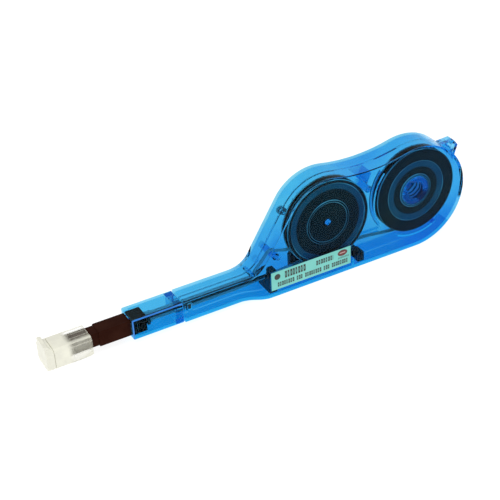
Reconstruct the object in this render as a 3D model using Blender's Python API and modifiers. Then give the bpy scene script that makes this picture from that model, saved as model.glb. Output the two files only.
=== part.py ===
"""One-click cleaner for multi-fibre optical connectors, with two tape reels in a see-through casing.

It stands on the straight long edge of its casing. +X runs from the nozzle to the rear reel, +Y from
the label side to the far side, and +Z is up. The origin is the middle of the footprint.
Names in capitals are sizes and places in metres; angles are in radians.
"""

import math

import bmesh
import bpy
from mathutils import Matrix, Vector

MM = 0.001
OBJECT_NAME = "connector_cleaner"

# Clearances
GAP = 0.3 * MM  # between pieces that touch or run on each other
REEL_CLEAR = 0.4 * MM  # round a reel, inside the casing
SLIDE_CLEAR = 0.2 * MM  # round the nozzle, in the sleeve's lip

# Casing
CASE_THICK = 15.2 * MM
WALL = 1.2 * MM
EDGE_ROUND = 0.5 * MM
SADDLE_R = 82.0 * MM
RAMP_ANGLE = math.radians(57.5)
RAMP_FILLET_R = 11.0 * MM
HANDLE_REACH = 97.5 * MM  # front reel's axis to the handle's front end
HANDLE_THICK = 12.0 * MM
HANDLE_BOTTOM_Z = 2.4 * MM
STEP_FROM = 45.6 * MM  # the handle's underside starts to drop here, ahead of the front reel's axis
STEP_TO = 30.4 * MM
TAPER_FROM = 45.0 * MM  # the handle starts to widen to the casing here
TAPER_TO = 32.0 * MM

# Reels
REEL_R = 21.0 * MM
REEL_SPACE = 5.1 * MM  # between the two reels
REEL_THICK = 4.2 * MM
FLANGE_THICK = 0.6 * MM
SLIDE_ROOM = 7.5 * MM  # under the front reel
REAR_SPACE = 5.1 * MM  # rear reel's radius to the rear round's radius
REAR_TOP_SPACE = 0.6 * MM
TAKEUP_POST_R = 1.6 * MM
TAKEUP_HUB_R = 8.0 * MM
TAKEUP_SLEEVE_R = 4.2 * MM
TAKEUP_ROLL_R = 12.0 * MM
TAKEUP_BEAD_R = 10.4 * MM
TAKEUP_RIM_R = 17.0 * MM
SUPPLY_POST_R = 7.0 * MM
SUPPLY_POST_BORE_R = 4.1 * MM
SUPPLY_HUB_R = 9.2 * MM
SUPPLY_ROLL_R = 17.5 * MM
SUPPLY_BEAD_R = 15.1 * MM
SUPPLY_DISH_R = 12.0 * MM
BEAD_WIDE = 0.8 * MM

# Nozzle, sleeve and head
NOZZLE_SIDE = 7.4 * MM
NOZZLE_BORE = 5.8 * MM
NOZZLE_HELD = 7.4 * MM  # inside the sleeve
NOZZLE_OUT = 14.6 * MM  # in front of the sleeve, up to the shoulder
NOZZLE_NECK = 15.9 * MM  # from the shoulder to the tip
NECK_THICK = 6.4 * MM
NECK_HIGH = 6.6 * MM
NECK_BORE_THICK = 4.2 * MM
NECK_BORE_HIGH = 4.5 * MM
SLEEVE_LENGTH = 24.2 * MM
SLEEVE_LIP = 2.7 * MM
SPIGOT_LENGTH = 3.8 * MM
SPIGOT_WALL = 0.7 * MM
REBATE_WALL = 0.5 * MM
HEAD_THICK = 3.0 * MM
HEAD_HIGH = 3.0 * MM
HEAD_LENGTH = 17.0 * MM
HEAD_STEM = 1.6 * MM
HEAD_STEM_LENGTH = 12.0 * MM
HEAD_SPRING_R = 0.55 * MM
HEAD_SPRING_TURNS = 6

# Guide cap and lid
CAP_THICK = 12.0 * MM
CAP_BELOW = 6.1 * MM  # under the nozzle's centre line
CAP_ABOVE = 4.2 * MM  # over it
CAP_GRIP = 12.0 * MM  # how far the neck's tip sits inside it
CAP_FRONT = 5.0 * MM  # in front of the tip
CAP_CHAMFER = 1.4 * MM
CAP_HEEL_LONG = 4.0 * MM  # sloped off, under the rear end
CAP_HEEL_HIGH = 1.8 * MM
TONGUE_HALF = 1.7 * MM
TONGUE_SLOT = 0.5 * MM
TONGUE_REACH = 8.5 * MM
LID_THICK = 3.4 * MM
LID_LIP = 1.9 * MM

# Slide, rack and gear
GEAR_MODULE = 1.0 * MM
GEAR_TEETH = 30
PRESSURE_ANGLE = math.radians(20)
TOOTH_BACKLASH = 0.3 * MM
TOOTH_ADDENDUM = 0.85 * MM
TOOTH_DEDENDUM = 1.25 * MM
RACK_TEETH = 8
GEAR_NEAR_Y = 1.8 * MM
GEAR_THICK = 2.4 * MM
SLIDE_AHEAD = 10.0 * MM  # ahead of the front reel's rim
SLIDE_REAR = 18.9 * MM  # behind it
SLIDE_BAR_TOP = 5.2 * MM
SLIDE_FLOOR_GAP = 0.4 * MM
TOWER_LONG = 3.8 * MM
TOWER_TOP = 12.9 * MM
TOWER_FAR_Y = -1.7 * MM
HOOK_LONG = 3.3 * MM
HOOK_TOP = 7.2 * MM
ROD_SIDE = 1.0 * MM
ROD_NEAR_Y = -4.2 * MM
ROD_TOP = 10.9 * MM
ROD_FOOT_LONG = 2.2 * MM
ROD_FOOT_BOTTOM = 7.2 * MM
ROD_FOOT_PLACE = 69.0 * MM  # ahead of the front reel's axis
RETURN_SPRING_R = 1.4 * MM
RETURN_SPRING_TURNS = 16
RETURN_SPRING_Y = -4.0 * MM
SPRING_STOP = 12.0 * MM  # behind the front reel's axis
SPRING_STOP_LONG = 1.4 * MM
WIRE_R = 0.25 * MM

# Ratchet
RATCHET_TEETH = 16
RATCHET_TIP_R = 8.0 * MM
RATCHET_ROOT_R = 6.9 * MM
RATCHET_THICK = 1.4 * MM
RATCHET_BORE_STEP = 0.6 * MM
PAWL_PIN_R = 0.7 * MM
PAWL_EYE_R = 1.9 * MM
PAWL_NOSE = 1.1 * MM
PAWL_LEAN = math.radians(24)  # how far the nose is round the wheel from the pin
PAWL_PIN_PLACE = 11.6 * MM  # from the front reel's axis
DRIVE_PAWL_AT = math.radians(60)
HOLDING_PAWL_INSIDE = 2.6 * MM  # from the front reel's rim in to the pin
HOLDING_PAWL_AT = math.radians(160)

# Tape
TAPE_WIDE = 2.4 * MM
TAPE_THICK = 0.2 * MM
TAPE_RUN_SPREAD = 1.35 * MM  # each run's distance from the nozzle's centre line, in the handle
LOOP_SPREAD = 1.95 * MM  # the head loop's legs, outside the runs
LOW_POST_R = 1.1 * MM
LOW_POST_AHEAD = 15.6 * MM  # ahead of the front reel's rim
HIGH_POST_R = 1.6 * MM
HIGH_POST_AHEAD = 6.2 * MM
HIGH_POST_BELOW = 8.7 * MM  # below the front reel's axis
POST_END = 1.0 * MM  # how far a post reaches past the tape

# Brake spring, label, strap eyelet, inner walls
BRAKE_SPRING_R = 8.4 * MM
BRAKE_SPRING_TURNS = 3
BRAKE_WIRE_R = 0.35 * MM
LABEL_LONG = 41.6 * MM
LABEL_HIGH = 9.4 * MM
LABEL_THICK = 0.15 * MM
LABEL_DEEP = 0.5 * MM
LABEL_FRONT = 30.7 * MM  # ahead of the front reel's axis
LABEL_BOTTOM = 3.5 * MM
EYELET_AT = math.radians(37.5)
EYELET_OUT = 5.2 * MM
EYELET_BASE = math.radians(14.5)  # each way from the middle, at the casing
EYELET_TOP = math.radians(3.5)
EYELET_THICK = 4.6 * MM
EYELET_HOLE_R = 1.4 * MM
RIB_THICK = 0.7 * MM
RIB_FROM = 9.0 * MM  # behind the front reel's axis
RIB_TO = 34.0 * MM
RIB_PLACES = (5.6 * MM, 7.7 * MM)  # heights of the two straight ribs
WEB_NEAR_Y = -1.0 * MM
WEB_TOP = 14.5 * MM  # over the reels' axes, at the casing's top wall
WEB_LOW = 9.0 * MM
TIE_POST_R = 1.7 * MM
TIE_POST_UP = 7.5 * MM  # over the front reel's axis
TIE_POST_NEAR_Y = -2.6 * MM
STUD_R = 1.6 * MM
STUD_PLACES = ((-20.2 * MM, 11.0 * MM), (-31.0 * MM, 13.6 * MM))  # from the front axis, and height
WELL_GAP = 1.6 * MM  # reel rim to the wall round the rear reel
WELL_WALL = 0.9 * MM
WELL_HIGH = 3.4 * MM

ARC_STEP = math.radians(12)
ARC_FLATNESS = 0.025 * MM  # how far an outline's facets may stray from a true arc
ROUND_STEPS = 44
TAPE_STEP = 3.0 * MM
WRAP_SHOWN = math.radians(12)  # how far a run of tape follows its roll
MERGE = 0.000001

# Places that follow from the sizes above
REEL_PITCH = 2 * REEL_R + REEL_SPACE
SLIDE_FRONT = REEL_R + SLIDE_AHEAD
REAR_R = REEL_R + REAR_SPACE
SHOULDER_R = REEL_R + REEL_CLEAR + WALL
FRONT_REEL_Z = REEL_R + SLIDE_ROOM
REAR_REEL_Z = 2 * REAR_R - WALL - REAR_TOP_SPACE - REEL_R
HANDLE_HIGH = NOZZLE_SIDE + 2 * (SLIDE_CLEAR + WALL)
HANDLE_TOP_Z = HANDLE_BOTTOM_Z + HANDLE_HIGH
NOZZLE_Z = HANDLE_BOTTOM_Z + HANDLE_HIGH / 2
LID_REACH = HANDLE_REACH + NOZZLE_OUT + NOZZLE_NECK + CAP_FRONT + GAP + LID_THICK
FRONT_REEL_X = (LID_REACH - REEL_PITCH - REAR_R) / 2
REAR_REEL_X = FRONT_REEL_X + REEL_PITCH
HANDLE_FRONT_X = FRONT_REEL_X - HANDLE_REACH
SHELL_FRONT_X = HANDLE_FRONT_X + SLEEVE_LENGTH + GAP
NOZZLE_REAR_X = HANDLE_FRONT_X + NOZZLE_HELD
SHOULDER_X = HANDLE_FRONT_X - NOZZLE_OUT
TIP_X = SHOULDER_X - NOZZLE_NECK
CAP_FRONT_X = TIP_X - CAP_FRONT
CASE_INNER_Y = CASE_THICK / 2 - WALL
HANDLE_INNER_Y = HANDLE_THICK / 2 - WALL
REEL_NEAR_Y = GAP - CASE_INNER_Y
REEL_FAR_Y = REEL_NEAR_Y + REEL_THICK
TAPE_NEAR_Y = REEL_NEAR_Y + FLANGE_THICK + GAP
TAPE_FAR_Y = REEL_FAR_Y - FLANGE_THICK - GAP
TAPE_REEL_Y = (TAPE_NEAR_Y + TAPE_FAR_Y) / 2
GEAR_R = GEAR_TEETH * GEAR_MODULE / 2
GEAR_FAR_Y = GEAR_NEAR_Y + GEAR_THICK
RATCHET_NEAR_Y = GEAR_FAR_Y + GAP
RATCHET_FAR_Y = RATCHET_NEAR_Y + RATCHET_THICK
FRONT_AXIS = Vector((FRONT_REEL_X, 0, FRONT_REEL_Z))
REAR_AXIS = Vector((REAR_REEL_X, 0, REAR_REEL_Z))

PARTS = {}


# Shape tools


def start_scene():
    """Empty the scene and make the two collections."""
    for old in list(bpy.data.objects):
        bpy.data.objects.remove(old)
    for key, name in (("parts", OBJECT_NAME), ("cutters", "cutters")):
        PARTS[key] = bpy.data.collections.new(name)
        bpy.context.scene.collection.children.link(PARTS[key])


def material(name, colour, roughness, metallic=0.0):
    """A plain finish."""
    made = bpy.data.materials.new(name)
    made.use_nodes = True
    shader = made.node_tree.nodes["Principled BSDF"]
    shader.inputs["Base Color"].default_value = (*colour, 1.0)
    shader.inputs["Roughness"].default_value = roughness
    shader.inputs["Metallic"].default_value = metallic
    return made


def add_object(name, mesh, finish=None):
    """A part if it has a finish, and otherwise a cutter or a shape to join."""
    made = bpy.data.objects.new(name, mesh)
    if finish is None:
        PARTS["cutters"].objects.link(made)
        made.hide_render = True
        made.display_type = "WIRE"
    else:
        PARTS["parts"].objects.link(made)
        mesh.materials.append(finish)
    return made


def mesh_from(name, bm):
    """A mesh from a bmesh, with its faces pointing out."""
    bmesh.ops.remove_doubles(bm, verts=bm.verts, dist=MERGE)
    bmesh.ops.recalc_face_normals(bm, faces=bm.faces)
    mesh = bpy.data.meshes.new(name)
    bm.to_mesh(mesh)
    bm.free()
    return mesh


def box(name, low, high, finish=None):
    """A block between two corners."""
    low, high = Vector(low), Vector(high)
    bm = bmesh.new()
    bmesh.ops.create_cube(bm, size=1.0)
    bmesh.ops.scale(bm, vec=high - low, verts=bm.verts)
    bmesh.ops.translate(bm, vec=(low + high) / 2, verts=bm.verts)
    return add_object(name, mesh_from(name, bm), finish)


def mesh_from_curve(name, curve):
    """A curve made a welded mesh."""
    stand_in = bpy.data.objects.new(name, curve)
    PARTS["cutters"].objects.link(stand_in)
    ready = stand_in.evaluated_get(bpy.context.evaluated_depsgraph_get())
    shape = bpy.data.meshes.new_from_object(ready)
    bm = bmesh.new()
    bm.from_mesh(shape)
    bpy.data.objects.remove(stand_in)
    bpy.data.meshes.remove(shape)
    return bm


def flat(name, outlines, near_y, far_y, finish=None, origin=None):
    """A flat solid: outlines of (x, z) points, the first the rim and the rest holes."""
    curve = bpy.data.curves.new(name, "CURVE")
    curve.dimensions = "2D"
    curve.fill_mode = "BOTH"
    curve.extrude = (far_y - near_y) / 2
    for outline in outlines:
        spline = curve.splines.new("POLY")
        spline.points.add(len(outline) - 1)
        for point, (x, z) in zip(spline.points, outline):
            point.co = (x, z, 0, 1)
        spline.use_cyclic_u = True
    bm = mesh_from_curve(name, curve)
    upright = Matrix.Translation((0, (near_y + far_y) / 2, 0)) @ Matrix.Rotation(math.pi / 2, 4, "X")
    bmesh.ops.transform(bm, matrix=upright, verts=bm.verts)
    made = add_object(name, mesh_from(name, bm), finish)
    return move_origin(made, origin)


def move_origin(made, origin):
    """Put an object's origin at a point without moving its shape."""
    if origin is not None:
        made.data.transform(Matrix.Translation(-Vector(origin)))
        made.location = origin
    return made


def turned(name, profile, axis, finish=None):
    """A shape turned about a line along Y. The profile's (radius, y) points run out and then far."""
    bm = bmesh.new()
    verts = [bm.verts.new((radius, 0, -y)) for radius, y in profile]
    for i, vert in enumerate(verts):
        bm.edges.new((vert, verts[(i + 1) % len(verts)]))
    mesh = bpy.data.meshes.new(name)
    bm.to_mesh(mesh)
    bm.free()
    made = add_object(name, mesh, finish)
    made.location = axis
    made.rotation_euler = (math.pi / 2, 0, 0)
    screw = made.modifiers.new("Turn", "SCREW")
    screw.steps = ROUND_STEPS
    screw.render_steps = ROUND_STEPS
    screw.use_merge_vertices = True
    screw.merge_threshold = MERGE
    screw.use_smooth_shade = True
    return made


def ring(inner_r, outer_r, near_y, far_y):
    """The profile of a plain ring, or of a disc where inner_r is 0."""
    return [(inner_r, near_y), (outer_r, near_y), (outer_r, far_y), (inner_r, far_y)]


def post(name, centre, radius, near_y, far_y, finish=None):
    """A round post along Y."""
    return flat(name, [circle(centre, radius, ROUND_STEPS // 2)], near_y, far_y, finish)


def coil(name, start, end, radius, turns, wire_r, finish):
    """A helical spring between two points, with its ends cut square."""
    axis = Vector(end) - Vector(start)
    turn = axis.to_track_quat("Z", "Y")
    steps = int(turns * 12)
    curve = bpy.data.curves.new(name, "CURVE")
    curve.dimensions = "3D"
    curve.bevel_depth = wire_r
    curve.bevel_resolution = 1
    curve.use_fill_caps = True
    spline = curve.splines.new("POLY")
    spline.points.add(steps)
    for i, point in enumerate(spline.points):
        angle = math.tau * turns * i / steps
        along = axis.length * i / steps
        local = Vector((radius * math.cos(angle), radius * math.sin(angle), along))
        point.co = (*(Vector(start) + turn @ local), 1)
    return add_object(name, mesh_from(name, mesh_from_curve(name, curve)), finish)


def combine(target, other, operation):
    """Join another shape to a part, or cut it out."""
    change = target.modifiers.new(other.name, "BOOLEAN")
    change.operation = operation
    change.solver = "EXACT"
    change.object = other
    return target


def join(target, *others):
    """Join shapes to a part."""
    for other in others:
        combine(target, other, "UNION")
    return target


def cut(target, *others):
    """Cut shapes out of a part."""
    for other in others:
        combine(target, other, "DIFFERENCE")
    return target


# Outlines in the XZ plane


def polar(centre, radius, angle):
    """The point at an angle on a circle."""
    return (centre[0] + radius * math.cos(angle), centre[1] + radius * math.sin(angle))


def arc(centre, radius, start, end):
    """Points along an arc, ends included."""
    step = min(ARC_STEP, 2 * math.acos(1 - ARC_FLATNESS / radius))
    count = max(2, math.ceil(abs(end - start) / step))
    return [polar(centre, radius, start + (end - start) * i / count) for i in range(count + 1)]


def circle(centre, radius, count=ROUND_STEPS):
    """Points round a circle."""
    return [polar(centre, radius, math.tau * i / count) for i in range(count)]


def rectangle(x_low, x_high, z_low, z_high):
    """The corners of a rectangle."""
    return [(x_low, z_low), (x_high, z_low), (x_high, z_high), (x_low, z_high)]


def reaches(first, first_r, second, second_r):
    """The upper point at given distances from two points."""
    span = math.dist(first, second)
    along = (first_r**2 - second_r**2 + span**2) / (2 * span)
    off = math.sqrt(first_r**2 - along**2)
    ux, uz = (second[0] - first[0]) / span, (second[1] - first[1]) / span
    return (first[0] + along * ux - off * uz, first[1] + along * uz + off * ux)


def step_arcs(inset):
    """The S-shaped step from the handle's underside down to the casing's straight edge."""
    long = STEP_FROM - STEP_TO
    lean = 2 * math.atan(HANDLE_BOTTOM_Z / long)
    radius = long / (2 * math.sin(lean))
    upper = (FRONT_REEL_X - STEP_FROM, HANDLE_BOTTOM_Z - radius)
    lower = (FRONT_REEL_X - STEP_TO, radius)
    down = arc(upper, radius + inset, math.pi / 2, math.pi / 2 - lean)
    flatten = arc(lower, radius - inset, -math.pi / 2 - lean, -math.pi / 2)
    return down + flatten[1:]


def case_outline(inset, front_x):
    """The casing's side outline, set in all round except at its open front."""
    shoulder = (FRONT_REEL_X, FRONT_REEL_Z)
    rear = (REAR_REEL_X, REAR_R)
    saddle = reaches(shoulder, SHOULDER_R + SADDLE_R, rear, REAR_R + SADDLE_R)
    to_rear = math.atan2(rear[1] - saddle[1], rear[0] - saddle[0])
    to_shoulder = math.atan2(shoulder[1] - saddle[1], shoulder[0] - saddle[0])
    ramp_out = RAMP_ANGLE + math.pi / 2
    out_x, out_z = math.cos(ramp_out), math.sin(ramp_out)
    fillet_z = HANDLE_TOP_Z + RAMP_FILLET_R
    fillet_x = FRONT_REEL_X + (SHOULDER_R + RAMP_FILLET_R - (fillet_z - FRONT_REEL_Z) * out_z) / out_x
    outline = [(front_x, HANDLE_BOTTOM_Z + inset)]
    outline += step_arcs(inset)
    outline += arc(rear, REAR_R - inset, -math.pi / 2, to_rear + math.pi)
    outline += arc(saddle, SADDLE_R + inset, to_rear, to_shoulder)[1:-1]
    outline += arc(shoulder, SHOULDER_R - inset, to_shoulder + math.pi, ramp_out)
    outline += arc((fillet_x, fillet_z), RAMP_FILLET_R + inset, ramp_out - math.pi, -math.pi / 2)
    outline.append((front_x, HANDLE_TOP_Z - inset))
    return outline


def gear_outline(centre, teeth, pitch_r):
    """An involute gear with one tooth pointing straight down."""
    base_r = pitch_r * math.cos(PRESSURE_ANGLE)
    tip_r = pitch_r + TOOTH_ADDENDUM
    root_r = pitch_r - TOOTH_DEDENDUM
    start_r = max(base_r, root_r)
    at_pitch = math.pi / (2 * teeth) - TOOTH_BACKLASH / (4 * pitch_r)
    at_base = at_pitch + math.tan(PRESSURE_ANGLE) - PRESSURE_ANGLE
    flank = []
    for i in range(4):
        radius = start_r + (tip_r - start_r) * i / 3
        roll = math.acos(base_r / radius)
        flank.append((radius, at_base - math.tan(roll) + roll))
    points = []
    for tooth in range(teeth):
        middle = math.tau * tooth / teeth - math.pi / 2
        points.append(polar(centre, root_r, middle - flank[0][1]))
        points += [polar(centre, radius, middle - half) for radius, half in flank]
        points += [polar(centre, radius, middle + half) for radius, half in reversed(flank)]
        points.append(polar(centre, root_r, middle + flank[0][1]))
    return points


def rack_outline(low_z):
    """The rack, with a gap between its teeth right under the gear's axis."""
    pitch = math.pi * GEAR_MODULE
    pitch_z = FRONT_REEL_Z - GEAR_R
    first = FRONT_REEL_X - (RACK_TEETH // 2 + 1) * pitch
    half = pitch / 4 - TOOTH_BACKLASH / 4
    tip = half - TOOTH_ADDENDUM * math.tan(PRESSURE_ANGLE)
    root = half + TOOTH_DEDENDUM * math.tan(PRESSURE_ANGLE)
    top = []
    for tooth in range(RACK_TEETH):
        middle = first + (tooth + 0.5) * pitch
        top.append((middle - root, pitch_z - TOOTH_DEDENDUM))
        top.append((middle - tip, pitch_z + TOOTH_ADDENDUM))
        top.append((middle + tip, pitch_z + TOOTH_ADDENDUM))
        top.append((middle + root, pitch_z - TOOTH_DEDENDUM))
    last = first + RACK_TEETH * pitch
    foot = [(last, pitch_z - TOOTH_DEDENDUM), (last, low_z), (first, low_z)]
    return [(first, pitch_z - TOOTH_DEDENDUM), *top, *foot]


def ratchet_outline(centre):
    """Saw teeth that a pawl catches when the wheel would turn clockwise, seen from the label side."""
    points = []
    for tooth in range(RATCHET_TEETH):
        angle = math.tau * tooth / RATCHET_TEETH
        points.append(polar(centre, RATCHET_ROOT_R, angle))
        points.append(polar(centre, RATCHET_TIP_R, angle))
    return points


# Casing


def case_block(name, inset, front_x, finish=None):
    """The casing's outer or inner form: full thickness at the reels, thinner along the handle."""
    half = CASE_THICK / 2 - inset
    handle_half = HANDLE_THICK / 2 - inset
    block = flat(name, [case_outline(inset, front_x)], -half, half, finish)
    bevel = block.modifiers.new("Edges", "BEVEL")
    bevel.width = EDGE_ROUND
    bevel.segments = 1
    bevel.limit_method = "ANGLE"
    bevel.angle_limit = math.radians(40)
    start, stop = FRONT_REEL_X - TAPER_FROM, FRONT_REEL_X - TAPER_TO
    ahead, out, tall = front_x - WALL, CASE_THICK, 2 * HANDLE_TOP_Z + FRONT_REEL_Z
    for side in (-1, 1):
        plan = [(ahead, side * out), (ahead, side * handle_half), (start, side * handle_half)]
        beyond = (2 * stop - start, side * (2 * half - handle_half))
        plan += [beyond, (beyond[0], side * out)]
        bm = bmesh.new()
        face = bm.faces.new([bm.verts.new((x, y, -WALL)) for x, y in plan])
        grown = bmesh.ops.extrude_face_region(bm, geom=[face])["geom"]
        top = [v for v in grown if isinstance(v, bmesh.types.BMVert)]
        bmesh.ops.translate(bm, vec=(0, 0, tall), verts=top)
        cut(block, add_object(f"{name}_side_{side + 1}", mesh_from(name, bm)))
    return block


def handle_box(name, inset, from_x, to_x, finish=None):
    """A block along the handle, set in from the handle's outside."""
    half = HANDLE_THICK / 2 - inset
    low = (from_x, -half, HANDLE_BOTTOM_Z + inset)
    high = (to_x, half, HANDLE_TOP_Z - inset)
    return box(name, low, high, finish)


def eyelet(name):
    """The strap eyelet at the rear top corner, with its hole."""
    rear = (REAR_REEL_X, REAR_R)
    inside, outside = REAR_R - WALL / 2, REAR_R + EYELET_OUT
    corners = [polar(rear, inside, EYELET_AT - EYELET_BASE)]
    corners += arc(rear, outside, EYELET_AT - EYELET_TOP, EYELET_AT + EYELET_TOP)
    corners += arc(rear, inside, EYELET_AT + EYELET_BASE, EYELET_AT - EYELET_BASE)[:-1]
    hole = circle(polar(rear, REAR_R + EYELET_OUT / 2, EYELET_AT), EYELET_HOLE_R, 16)
    return flat(name, [corners, hole], -EYELET_THICK / 2, EYELET_THICK / 2)


def shell_half(name, side, finish):
    """One half of the casing: side is -1 for the label side and 1 for the far side."""
    shell = case_block(name, 0.0, SHELL_FRONT_X, finish)
    join(shell, eyelet(f"{name}_eyelet"))
    rebate = REBATE_WALL + GAP
    spigot_front = SHELL_FRONT_X - SPIGOT_LENGTH
    join(shell, handle_box(f"{name}_spigot", rebate, spigot_front, SHELL_FRONT_X + WALL))
    cut(shell, case_block(f"{name}_cavity", WALL, SHELL_FRONT_X + WALL))
    bore = handle_box(f"{name}_bore", rebate + SPIGOT_WALL, spigot_front - WALL, SHELL_FRONT_X + 2 * WALL)
    cut(shell, bore)
    near_y, far_y = sorted((side * GAP / 2, -side * CASE_THICK))
    low = (-LID_REACH, near_y, -WALL)
    high = (LID_REACH, far_y, 3 * REAR_R)
    return cut(shell, box(f"{name}_other_half", low, high))


def well_wall(name, start, end, near_y, far_y):
    """Part of the round wall about the rear reel."""
    centre = (REAR_REEL_X, REAR_REEL_Z)
    inner = REEL_R + WELL_GAP
    outline = arc(centre, inner, start, end) + arc(centre, inner + WELL_WALL, end, start)
    return flat(name, [outline], near_y, far_y)


def build_near_shell(finish):
    """The label-side half, with its label recess, snap window, spring stop and inner walls."""
    shell = shell_half("near_shell", -1, finish)
    wall_y = -CASE_INNER_Y
    sunk = wall_y - WALL / 2
    stop_x = FRONT_REEL_X + SPRING_STOP
    spring_z = WALL + SLIDE_FLOOR_GAP + RETURN_SPRING_R + WIRE_R
    stop = box(
        "spring_stop",
        (stop_x, sunk, WALL / 2),
        (stop_x + SPRING_STOP_LONG, RETURN_SPRING_Y + RETURN_SPRING_R, spring_z + RETURN_SPRING_R),
    )
    upper = well_wall("well_upper", math.radians(140), math.radians(215), sunk, wall_y + WELL_HIGH)
    lower = well_wall("well_lower", math.radians(245), math.radians(300), sunk, wall_y + WELL_HIGH)
    join(shell, stop, upper, lower)
    foot_x = FRONT_REEL_X - ROD_FOOT_PLACE
    window = box(
        "snap_window",
        (foot_x - ROD_FOOT_LONG, -HANDLE_THICK, ROD_FOOT_BOTTOM),
        (foot_x, -HANDLE_INNER_Y + WALL / 4, ROD_TOP),
    )
    label_x = FRONT_REEL_X - LABEL_FRONT
    recess = box(
        "label_recess",
        (label_x - GAP, -CASE_THICK, LABEL_BOTTOM - GAP),
        (label_x + LABEL_LONG + GAP, LABEL_DEEP - CASE_THICK / 2, LABEL_BOTTOM + LABEL_HIGH + GAP),
    )
    return cut(shell, window, recess)


def low_post_place():
    """The first guide post, just over the used tape."""
    above = TAPE_RUN_SPREAD + TAPE_THICK / 2 + GAP + LOW_POST_R
    return (FRONT_REEL_X - REEL_R - LOW_POST_AHEAD, NOZZLE_Z + above)


def high_post_place():
    """The second guide post, up the ramp."""
    return (FRONT_REEL_X - REEL_R - HIGH_POST_AHEAD, FRONT_REEL_Z - HIGH_POST_BELOW)


def stiffeners(sunk):
    """The far half's ribs, studs, tie post and the web between the reels."""
    ends = GEAR_FAR_Y + GAP
    left, right = FRONT_REEL_X + RIB_FROM, FRONT_REEL_X + RIB_TO
    shapes = []
    for i, z in enumerate(RIB_PLACES):
        shapes.append(box(f"rib_{i}", (left, ends, z), (right, sunk, z + RIB_THICK)))
    for i, (x, z) in enumerate(STUD_PLACES):
        shapes.append(post(f"stud_{i}", (FRONT_REEL_X + x, z), STUD_R, ends, sunk))
    middle = FRONT_REEL_X + REEL_PITCH / 2
    tie = (middle, FRONT_REEL_Z + TIE_POST_UP)
    shapes.append(post("tie_post", tie, TIE_POST_R, TIE_POST_NEAR_Y, sunk))
    low, top = FRONT_REEL_Z + WEB_LOW, FRONT_REEL_Z + WEB_TOP
    half = REEL_SPACE / 2
    web = [(middle, low), (middle + half, top), (middle - 2 * half, top)]
    shapes.append(flat("web", [web], WEB_NEAR_Y, sunk))
    return shapes


def build_far_shell(finish):
    """The far half, with the posts that the reels, the tape and the holding pawl sit on."""
    shell = shell_half("far_shell", 1, finish)
    sunk = CASE_INNER_Y + WALL / 2
    front = (FRONT_REEL_X, FRONT_REEL_Z)
    rear = (REAR_REEL_X, REAR_REEL_Z)
    near_end = REEL_NEAR_Y + GAP
    supply_post = post("supply_post", rear, SUPPLY_POST_R, near_end, sunk)
    takeup_post = post("takeup_post", front, TAKEUP_POST_R, near_end, sunk)
    low_post = post("low_post", low_post_place(), LOW_POST_R, -TAPE_WIDE / 2 - POST_END, sunk)
    high_post = post("high_post", high_post_place(), HIGH_POST_R, near_end, sunk)
    pawl_post = post("pawl_post", holding_pawl_pin(), PAWL_PIN_R, GEAR_NEAR_Y, sunk)
    join(shell, supply_post, takeup_post, low_post, high_post, pawl_post, *stiffeners(sunk))
    bore = post("supply_post_bore", rear, SUPPLY_POST_BORE_R, -CASE_THICK, CASE_INNER_Y - WALL)
    return cut(shell, bore)


def build_front_sleeve(finish):
    """The sleeve at the handle's front: a lip that guides the nozzle, and a rebate for the spigots."""
    rear_x = HANDLE_FRONT_X + SLEEVE_LENGTH
    sleeve = handle_box("front_sleeve", 0.0, HANDLE_FRONT_X, rear_x, finish)
    bevel = sleeve.modifiers.new("Edges", "BEVEL")
    bevel.width = EDGE_ROUND
    bevel.segments = 1
    bevel.limit_method = "ANGLE"
    hollow = handle_box("sleeve_hollow", WALL, HANDLE_FRONT_X + SLEEVE_LIP, rear_x + WALL)
    rebate_x = rear_x - SPIGOT_LENGTH - GAP
    rebate = handle_box("sleeve_rebate", REBATE_WALL, rebate_x, rear_x + WALL)
    half = NOZZLE_SIDE / 2 + SLIDE_CLEAR
    mouth = box(
        "sleeve_mouth",
        (HANDLE_FRONT_X - WALL, -half, NOZZLE_Z - half),
        (HANDLE_FRONT_X + SLEEVE_LIP + WALL, half, NOZZLE_Z + half),
    )
    return cut(sleeve, hollow, rebate, mouth)


def build_label(finish):
    """The sticker in its shallow recess."""
    left = FRONT_REEL_X - LABEL_FRONT
    outline = rectangle(left, left + LABEL_LONG, LABEL_BOTTOM, LABEL_BOTTOM + LABEL_HIGH)
    near_y = -CASE_THICK / 2
    return flat("label", [outline], near_y, near_y + LABEL_THICK, finish)


# Nozzle, head and cap


def square_bar(name, from_x, to_x, thick, high, finish=None):
    """A block on the nozzle's centre line."""
    low = (from_x, -thick / 2, NOZZLE_Z - high / 2)
    high_corner = (to_x, thick / 2, NOZZLE_Z + high / 2)
    return box(name, low, high_corner, finish)


def build_nozzle(finish):
    """The rectangular push-in tube, its narrower neck and the bore right through."""
    nozzle = square_bar("nozzle", SHOULDER_X, NOZZLE_REAR_X, NOZZLE_SIDE, NOZZLE_SIDE, finish)
    neck = square_bar("nozzle_neck", TIP_X, SHOULDER_X + WALL, NECK_THICK, NECK_HIGH)
    bore = square_bar("nozzle_bore", SHOULDER_X + WALL, NOZZLE_REAR_X + WALL, NOZZLE_BORE, NOZZLE_BORE)
    neck_bore = square_bar("neck_bore", TIP_X - WALL, SHOULDER_X + 2 * WALL, NECK_BORE_THICK, NECK_BORE_HIGH)
    join(nozzle, neck)
    cut(nozzle, bore, neck_bore)
    return move_origin(nozzle, (NOZZLE_REAR_X, 0, NOZZLE_Z))


def head_front_x():
    """Where the head's nose is: just behind the nozzle's tip, with the tape round it."""
    return TIP_X + GAP + TAPE_THICK + GAP


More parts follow.
